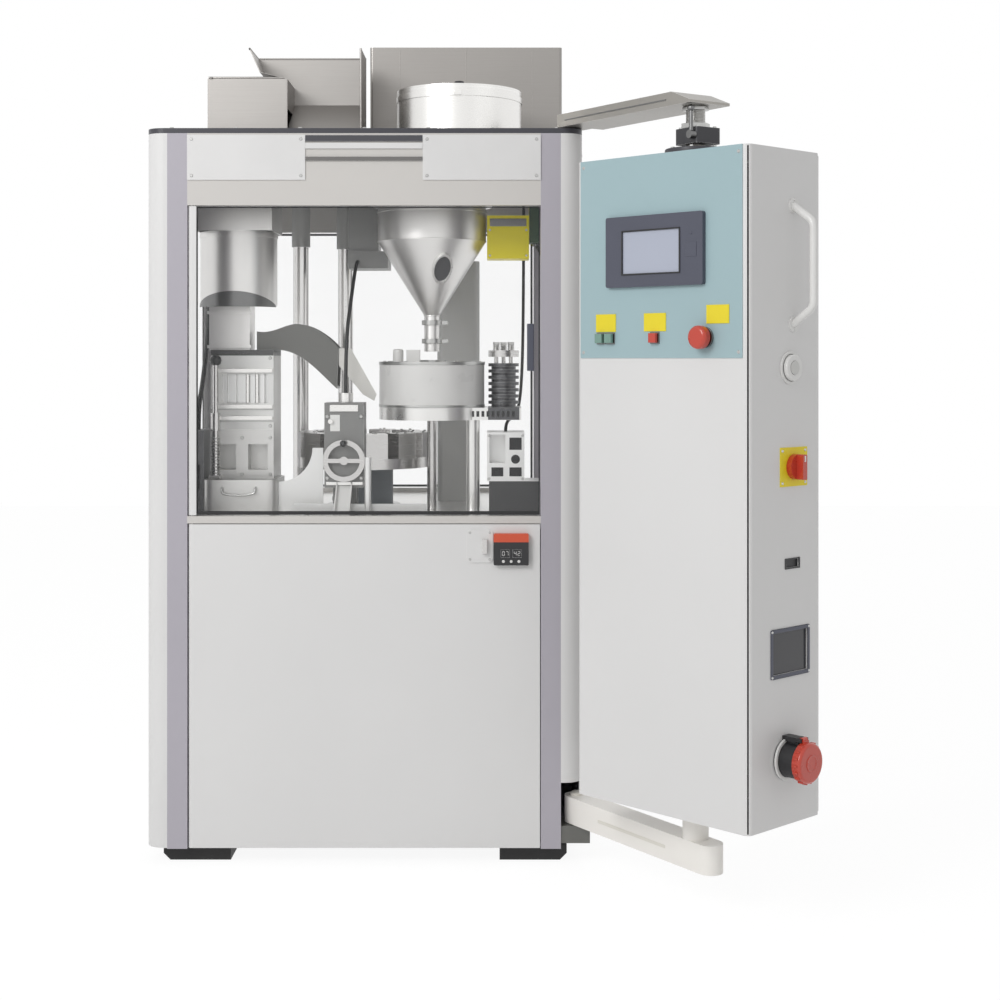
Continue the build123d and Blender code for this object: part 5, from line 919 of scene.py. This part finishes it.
# %% Funnel fittings
FUNNEL = (147.0, -150.0)
BIN = (-335.0, -150.0)
DOSER_TOP = 1170.0
SORTER_FRONT = -230.0
slope_at = math.radians(-72.0)
slope = Vector((math.cos(slope_at) * 185.0, math.sin(slope_at) * 185.0, -116.0)).normalized()
window_centre = Vector((FUNNEL[0] + 91.5 * math.cos(slope_at), FUNNEL[1] + 91.5 * math.sin(slope_at), 1400.0))
turn = slope.to_track_quat("Z", "Y").to_matrix().to_4x4()
SIGHT = Matrix.Translation(window_centre * MM) @ turn @ Matrix.Diagonal((0.6, 1.0, 1.0, 1.0))
sight = Fitting(SIGHT).ring((0, 0, -2), UP, 42, 34, 8, 48)
sight.done("sight_frame", lid_steel, "cabinet", "bright_steel", 0.8)
sight_glass = zoned("sight_glass", ((0.11, 0.11, 0.115), 0.12, 0.3), [])
glass = Fitting(SIGHT).turned([(0, 34), (3, 34)], (0, 0, 0), UP, 40)
glass.done("sight_glass", sight_glass, "cabinet", "display_glass", 0.3)
clamps = Fitting()
for z in (1216, 1262):
    clamps.ring((*FUNNEL, z), UP, 25.5, 19.4, 12)
    clamps.box((FUNNEL[0] + 23, FUNNEL[0] + 40), (-156, -144), (z + 1, z + 11))
clamps.ring((*FUNNEL, 1170), UP, 34, 21.9, 5)
clamps.done("spout_clamps", screw_steel, "cabinet", "bright_steel", 0.6)
weld = Fitting()
for radius, z in ((135.9, 1468.6), (136.6, 1540)):
    weld.ring((*FUNNEL, z), UP, radius, 134.6, 3, 64)
weld.ring((*FUNNEL, 1283.5), UP, 20.4, 18.8, 3)
weld.done("funnel_beads", funnel_steel, "cabinet", "brushed_steel", 0.8)

# %% Doser fittings
doser_rings = Fitting()
for z, tall in ((1163, 8), (1059, 6)):
    doser_rings.ring((*FUNNEL, z), UP, 132.4, 130.8, tall, 72)
doser_rings.done("doser_rings", screw_steel, "cabinet", "bright_steel", 0.6)
doser_turns = [Vector((math.cos(a), math.sin(a))) * 118 + Vector(FUNNEL) for a in around]
doser_spots = [((*spot, DOSER_TOP), UP) for spot in doser_turns]
screws("doser_screws", "cabinet", doser_spots, 4.5, 3.0)
# The slots are thin black boxes on the plate face: painted shade for the dark inside each slot.
slots = Fitting()
for i in range(16):
    x = 160.0 + i * 12.4
    slots.box((x, x + 7.0), (-232.6, -231.6), (1036, 1050))
slots.done("plate_slots", seal_rubber, "cabinet", "black_rubber", 0.2)

# %% [markdown]
# The capsule bin ends in a dark skirt with an arched top, and a band holds it. Under it the sorter has
# ledges, screws and a lever pole with a ball. These small parts give the work area its busy look.

# %% Capsule side fittings
def arched_lip(fitting, centre, radius, foot, rise, thick):
    """A curved skirt on the front of a drum, with a level foot and an arched top."""
    columns = []
    for i in range(49):
        angle = math.radians(-80.0 + 160.0 * i / 48)
        top = foot + 4.0 + rise * math.cos(angle * 90.0 / 80.0)
        for r, z in ((radius, foot), (radius + thick, foot), (radius + thick, top), (radius, top)):
            spot = (centre[0] + r * math.sin(angle), centre[1] - r * math.cos(angle), z)
            columns.append(fitting.bm.verts.new(fitting.place @ (Vector(spot) * MM)))
    rings = [columns[i:i + 4] for i in range(0, len(columns), 4)]
    for low, high in zip(rings, rings[1:]):
        for k in range(4):
            fitting.bm.faces.new((low[k], low[(k + 1) % 4], high[(k + 1) % 4], high[k]))
    fitting.bm.faces.new(rings[0])
    fitting.bm.faces.new(rings[-1][::-1])
    return fitting


skirt = arched_lip(Fitting(), BIN, 95.1, 1306, 34, 1.6)
skirt.done("bin_foot", dark_turned, "cabinet", "dark_steel", 0.3)
bands = Fitting().ring((*BIN, 1478), UP, 96.8, 94.8, 10, 64)
bands.box((-404, -296), (-208, -205.2), (1288, 1296)).box((-404, -296), (-208, -205.2), (1204, 1212))
bands.done("bin_bands", funnel_steel, "cabinet", "brushed_steel", 0.5)
ledges = Fitting()
for z in (1056, 1028, 1144):
    ledges.box((-390, -240), (-236, -230.3), (z, z + 10))
for x in (-304, -281):
    ledges.box((x, x + 6), (-233, -230.3), (1070, 1140))
ledges.done("sorter_ledges", lid_steel, "cabinet", "bright_steel", 0.6)
screws("sorter_screws", "cabinet", corners_of(-384, -246, 1014, 1180, SORTER_FRONT, OUT), 4.5, 2.4)
screws("base_screws", "cabinet", corners_of(-315, -246, 895, 985, SORTER_FRONT, OUT), 4.5, 2.4)
Fitting().turned([(0, 7), (3, 12), (12, 14.5), (20, 12.5), (25, 5)], (-378, -242, 1162), UP).done(
    "lever_ball", black_plastic, "cabinet", "black_plastic", 0.0)
grip_path = [(-352, -300, 868), (-352, -309, 868), (-352, -310, 850),
             (-272, -310, 850), (-272, -309, 868), (-272, -300, 868)]
pan_grip = Fitting().tube(grip_path, 2.6)
pan_grip.done("pan_grip", screw_steel, "cabinet", "bright_steel", 0.0)

# %% Turret and station fittings
low, high = (corner * 1000.0 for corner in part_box("turret"))
hub = ((low.x + high.x) / 2, (low.y + high.y) / 2)
segment_spots = []
for i in range(12):
    turn_angle = math.radians((i + 0.5) * 30.0)
    for reach in (128.0, 158.0):
        x, y = hub[0] + reach * math.cos(turn_angle), hub[1] + reach * math.sin(turn_angle)
        segment_spots.append(((x, y, 993.0), UP))
screws("segment_screws", "turret", segment_spots, 4.0, 2.6)
cap = Fitting().turned([(0, 40), (6, 40), (9, 36), (9, 27)], (*hub, 957.0), UP, 40)
cap.done("turret_cap", lid_steel, "turret", "bright_steel", 0.0)
station = Fitting().box((-90, -22), (-333, -330.2), (1052, 1068))
station.rod((-55, -296, 1073), (-55, -296, 1096), 17)
station.rod((-88, -330, 1028), (-88, -336, 1028), 6).box((-99, -11), (-332, -330.2), (876, 884))
station.done("station_trim", lid_steel, "cabinet", "bright_steel", 0.8)
screws("station_screws", "cabinet", corners_of(-96, -15, 893, 1040, -330.0, OUT), 5.0, 3.0)
knob = Fitting().turned([(0, 5), (4, 7), (16, 8), (22, 6), (24, 2)], (-55, -346, 977), OUT, 24)
knob.done("wheel_knob", black_plastic, "handwheel", "black_plastic", 0.0)
panes = Fitting()
for spans in (((340, 370), (955, 985)), ((296, 325), (890, 912)), ((340, 370), (890, 912))):
    panes.box(spans[0], (-231.2, -229.8), spans[1])
panes.turned([(0, 11), (1.6, 11)], (355, -230, 932), OUT, 28)
panes.done("reject_panes", seal_rubber, "cabinet", "display_glass", 0.4)
screws("reject_screws", "cabinet", corners_of(290, 372, 884, 990, SORTER_FRONT, OUT), 3.6, 2.0)
feet_rings = Fitting()
for x, y in ((-204.9, 59.8), (-95.5, 141.6), (205.0, 215.0)):
    feet_rings.ring((x, y, TABLE_TOP), UP, 36, 20.1, 12).ring((x, y, 1692), UP, 40, 24.1, 12)
feet_rings.ring((*hub, TABLE_TOP), UP, 92, 74.2, 10)
feet_rings.done("rod_flanges", screw_steel, "cabinet", "bright_steel", 0.8)
pipes = Fitting()
pipes.tube([(-45, -70, 1425), (-45, -110, 1425), (-50, -200, 1330),
            (-55, -296, 1220), (-55, -296, 1096)], 4.5)
pipes.tube([(331, -171, 998), (331, -171, 1020), (350, -60, 1030),
            (372, 60, 1060), (380, 100, 1300), (380, 120, 1704)], 4.0)
pipes.tube([(401, -160, 1470), (425, -150, 1440), (440, -40, 1400),
            (440, 60, 1500), (440, 80, 1704)], 5.0)
pipes.tube([(-425, -214, 1004), (-425, -214, 1060), (-430, -120, 1120),
            (-440, 40, 1300), (-440, 60, 1704)], 6.0)
pipes.done("air_pipes", seal_rubber, "cabinet", "black_rubber", 0.0)
level = Fitting().box((292, 382), (-202.4, -200.2), (1505, 1524))
level.turned([(0, 7), (6, 7)], (401, -160, 1458), UP, 6)
level.done("level_fittings", dark_turned, "cabinet", "dark_steel", 0.5)
screws("level_screws", "cabinet", corners_of(292, 382, 1433, 1496, -200.0, OUT), 3.2, 1.6)

# %% [markdown]
# ## Pendant
# The pendant is a folded case. Its fittings are built in the pendant's own directions, with X across the
# front and -Y towards the operator, and one matrix puts them on the case.

# %% Pendant front
PANEL = -124.5
screws("panel_screws", "pendant", corners_of(-212, 212, 1192, 1594, PANEL, OUT), 4.0, 1.6, place=PENDANT)
edge = Fitting(PENDANT)
frame_strip(edge, (-92, 69), (1355, 1450), (-136.2, -134.4), 3.0)
edge.done("screen_frame", black_plastic, "pendant", "bezel_plastic", 0.5)
pads = Fitting(PENDANT).box((84, 112), (-135.5, -134.4), (1388, 1418))
pads.turned([(0, 3), (1.2, 2.4)], (98, -134.5, 1436), OUT, 16)
pads.done("bezel_keys", bezel_plastic, "pendant", "bezel_plastic", 0.4)
collars = Fitting(PENDANT)
for x in (-159, -132, -7):
    collars.box((x - 12.5, x + 12.5), (-127.0, PANEL), (1209.5, 1234.5))
collars.ring((127, PANEL, 1222), OUT, 22, 12.4, 5, 36)
collars.done("button_collars", dark_turned, "pendant", "dark_steel", 0.8)

# %% Pendant side
SIDE = 235.0
INLET_Y, INLET_Z = 1.5, 362.0
RIB_REACH = 41.3
pane = Fitting(PENDANT)
for y, z in (((-50, -43.5), (529, 628)), ((75.5, 82), (529, 628)),
             ((-43.5, 75.5), (529, 536)), ((-43.5, 75.5), (621, 628))):
    pane.box((SIDE, SIDE + 2.5), y, z)
pane.done("window_frame", bezel_plastic, "pendant", "bezel_plastic", 0.8)
slot = Fitting(PENDANT)
for y, z in (((-2, 1.5), (748, 770)), ((45.5, 49), (748, 770)),
             ((1.5, 45.5), (748, 751)), ((1.5, 45.5), (767, 770))):
    slot.box((SIDE, SIDE + 1.6), y, z)
slot.box((SIDE - 8, SIDE - 4), (0, 47), (749, 769))
slot.done("card_slot", black_plastic, "pendant", "black_plastic", 0.4)
rings = Fitting(PENDANT).ring((SIDE, 15.5, 1160), RIGHT, 34, 28, 4, 44)
rings.ring((SIDE + 3, INLET_Y, INLET_Z), RIGHT, 43.5, 36.5, 5, 44)
rings.done("side_rings", white_plastic, "pendant", "white_plastic", 0.8)
switch_spots = [((SIDE + 1.5, 27.5 + y, 957 + z), RIGHT) for y in (-39, 39) for z in (-33, 33)]
screws("switch_screws", "pendant", switch_spots, 3.2, 1.6, place=PENDANT)
handle_spots = [((SIDE + 3.0, 27.5, z), RIGHT) for z in (1237, 1505)]
window_spots = [((SIDE + 2.5, y, z), RIGHT) for y in (-46.7, 78.7) for z in (532.5, 624.5)]
screws("side_screw_heads", "pendant", handle_spots + window_spots, 2.8, 1.4, place=PENDANT)
mark = Fitting(PENDANT).box((SIDE + 29.8, SIDE + 30.6), (25.5, 29.5), (968, 980))
mark.done("switch_mark", white_plastic, "main_switch", "white_plastic", 0.2)
ribs = Fitting(PENDANT)
for i in range(18):
    a = 2 * math.pi * i / 18
    if abs(a - math.pi / 2) > 0.5:
        y, z = INLET_Y + RIB_REACH * math.cos(a), INLET_Z + RIB_REACH * math.sin(a)
        ribs.box((SIDE + 46, SIDE + 58), (y - 2.2, y + 2.2), (z - 2.2, z + 2.2))
ribs.turned([(0, 18), (1.6, 17), (1.6, 14), (0.6, 13)], (SIDE + 64, INLET_Y, INLET_Z), RIGHT)
ribs.done("cap_ribs", red_cap, "inlet_cap", "red_plastic", 0.6)
reset_top = SIDE + 13.0
Fitting(PENDANT).turned([(0, 15), (1.2, 14), (1.2, 8)], (reset_top, 15.5, 1160), RIGHT, 32).done(
    "reset_dish", moulded("pale_cap", (0.60, 0.60, 0.58), 0.35), "reset_button", "white_plastic", 0.0)
gland = Fitting(PENDANT)
gland.turned([(0, 16), (8, 16), (8, 12), (20, 11), (24, 8)], (120, 40, 226), (0, 0, -1), 24)
gland.done("pendant_gland", black_plastic, "pendant", "black_plastic", 0.0)

# %% Pendant back and top
CASE_BACK = 122.5
back = Fitting(PENDANT)
for z in (520, 1320):
    back.turned([(0, 14), (2.5, 14), (3.5, 10)], (200, CASE_BACK, z), AFT, 28)
    back.box((198, 202), (125, 127.5), (z - 8, z + 8))
back.done("pendant_locks", black_plastic, "pendant_door", "black_plastic", 0.3)
plates = Fitting(PENDANT)
for z in (420, 880, 1380):
    plates.box((-218, -190), (CASE_BACK, CASE_BACK + 2.0), (z, z + 70))
plates.done("hinge_plates", screw_steel, "pendant_door", "bright_steel", 0.6)
hinge_spots = [((-204, 124.5, z + dz), AFT) for z in (420, 880, 1380) for dz in (14, 56)]
screws("hinge_screws", "pendant_door", hinge_spots, 4.0, 2.0, place=PENDANT)
vents = Fitting(PENDANT)
for i in range(12):
    vents.box((-60, 60), (CASE_BACK, CASE_BACK + 3.0), (1120 + i * 14, 1126 + i * 14))
vents.done("pendant_vents", white_coat, "pendant_door", "white_paint", 1.2)
disc_spots = [((52 * math.cos(a), 52 * math.sin(a), 1627.0), UP) for a in around[::2]]
screws("disc_screws", "pendant", disc_spots, 5.5, 4.0, place=PENDANT)

# %% [markdown]
# ## Arms
# The stem under the upper arm is threaded, so that the pendant's height can be set. The thread is the spring
# tree again with a tight coil. Nuts lock it above the clamp block.

# %% Arm fittings
stem = ARM @ Vector((0.428, 0.0, 1.6715)) * 1000.0
springs("stem_thread", "swing_arms", [tuple(stem)], 19.8, 1.3, 44.0, 14.0)
lock_nuts = Fitting(ARM).turned([(0, 31), (11, 31)], (428, 0, 1671), UP, 6).turned(
    [(0, 29), (8, 29)], (428, 0, 1709.5), UP, 6)
lock_nuts.done("stem_nuts", screw_steel, "swing_arms", "bright_steel", 1.0)
arm_spots = [((x, y, 1748.0), UP) for x in (60, 180, 300, 400) for y in (-46, 46)]
screws("arm_screws", "swing_arms", arm_spots, 4.5, 2.2, place=ARM)
clamp_spots = [((x, y, 1670.0), UP) for x in (408, 462) for y in (-24, 24)]
screws("clamp_screws", "swing_arms", clamp_spots, 5.0, 4.0, place=ARM)
seam = Fitting(ARM).box((30, 396), (-57.2, -56), (1731, 1734)).box((30, 396), (56, 57.2), (1731, 1734))
seam.done("arm_seams", dark_turned, "swing_arms", "dark_steel", 0.3)
foot = Fitting(ARM).turned([(0, 15), (5, 15), (8, 10)], (0, 0, 152), UP)
for y in ((-29.2, -28), (28, 29.2)):
    foot.box((120, 360), y, (117, 124))
foot.done("lower_arm_trim", cream_coat, "swing_arms", "cream_paint", 0.5)

# %% [markdown]
# ## Floor, lamps and background
# The room is left out. A pale floor catches a soft shadow, and a white world gives the even light of a
# product studio. The world looks white to the camera and in reflections, but lights the machine at a lower
# level, so pale panels keep their shading.

# %% Floor and world
SEEN_BY = ("Is Camera Ray", "Is Glossy Ray", "Is Transmission Ray")


def studio_floor():
    half = 9.0
    mesh = bpy.data.meshes.new("floor")
    corners = [(-half, -half, 0), (half, -half, 0), (half, half, 0), (-half, half, 0)]
    mesh.from_pydata(corners, [], [(0, 1, 2, 3)])
    floor = bpy.data.objects.new("floor", mesh)
    bpy.context.scene.collection.objects.link(floor)
    look = Look("floor_paint")
    glow = look.tree.nodes.new("ShaderNodeEmission")
    glow.inputs["Color"].default_value = (1.0, 1.0, 1.0, 1.0)
    glow.inputs["Strength"].default_value = 1.06
    path = look.tree.nodes.new("ShaderNodeLightPath")
    blend = look.tree.nodes.new("ShaderNodeMixShader")
    unseen = 1.0
    for ray in SEEN_BY:
        unseen = (1.0 - Value(look, path.outputs[ray])) * unseen
    look.give(blend.inputs[0], (1.0 - unseen) * 0.86)
    look.tree.links.new(look.shader.outputs[0], blend.inputs[1])
    look.tree.links.new(glow.outputs[0], blend.inputs[2])
    look.tree.links.new(blend.outputs[0], look.output.inputs[0])
    mesh.materials.append(look.finish(Base_Color=(0.9, 0.9, 0.9), Roughness=0.7))
    return floor


def studio_world(level):
    world = bpy.data.worlds.new("studio")
    bpy.context.scene.world = world
    world.use_nodes = True
    tree = world.node_tree
    tree.nodes.clear()
    path = tree.nodes.new("ShaderNodeLightPath")
    seen = path.outputs[SEEN_BY[0]]
    for ray in SEEN_BY[1:]:
        either = tree.nodes.new("ShaderNodeMath")
        either.operation = "MAXIMUM"
        tree.links.new(seen, either.inputs[0])
        tree.links.new(path.outputs[ray], either.inputs[1])
        seen = either.outputs[0]
    strength = tree.nodes.new("ShaderNodeMapRange")
    strength.inputs["To Min"].default_value = level
    strength.inputs["To Max"].default_value = 1.0
    tree.links.new(seen, strength.inputs["Value"])
    background = tree.nodes.new("ShaderNodeBackground")
    background.inputs["Color"].default_value = (1.0, 1.0, 1.0, 1.0)
    tree.links.new(strength.outputs[0], background.inputs["Strength"])
    output = tree.nodes.new("ShaderNodeOutputWorld")
    tree.links.new(background.outputs[0], output.inputs[0])


studio_floor()
studio_world(0.55)
print("floor and world ready")


# %% Lamps
def soft_box(name, place, target, size, power):
    """A square area lamp that looks at a point."""
    data = bpy.data.lights.new(name, "AREA")
    data.shape = "SQUARE"
    data.size = size
    data.energy = power
    lamp = bpy.data.objects.new(name, data)
    lamp.location = place
    aim = Vector(target) - Vector(place)
    lamp.rotation_euler = aim.to_track_quat("-Z", "Y").to_euler()
    bpy.context.scene.collection.objects.link(lamp)


soft_box("key", (-2.6, -4.2, 3.6), (0.1, 0.0, 1.0), 2.2, 120.0)
soft_box("fill", (3.2, -3.0, 2.0), (0.3, -0.4, 1.0), 2.4, 2.0)
print("lamps ready")
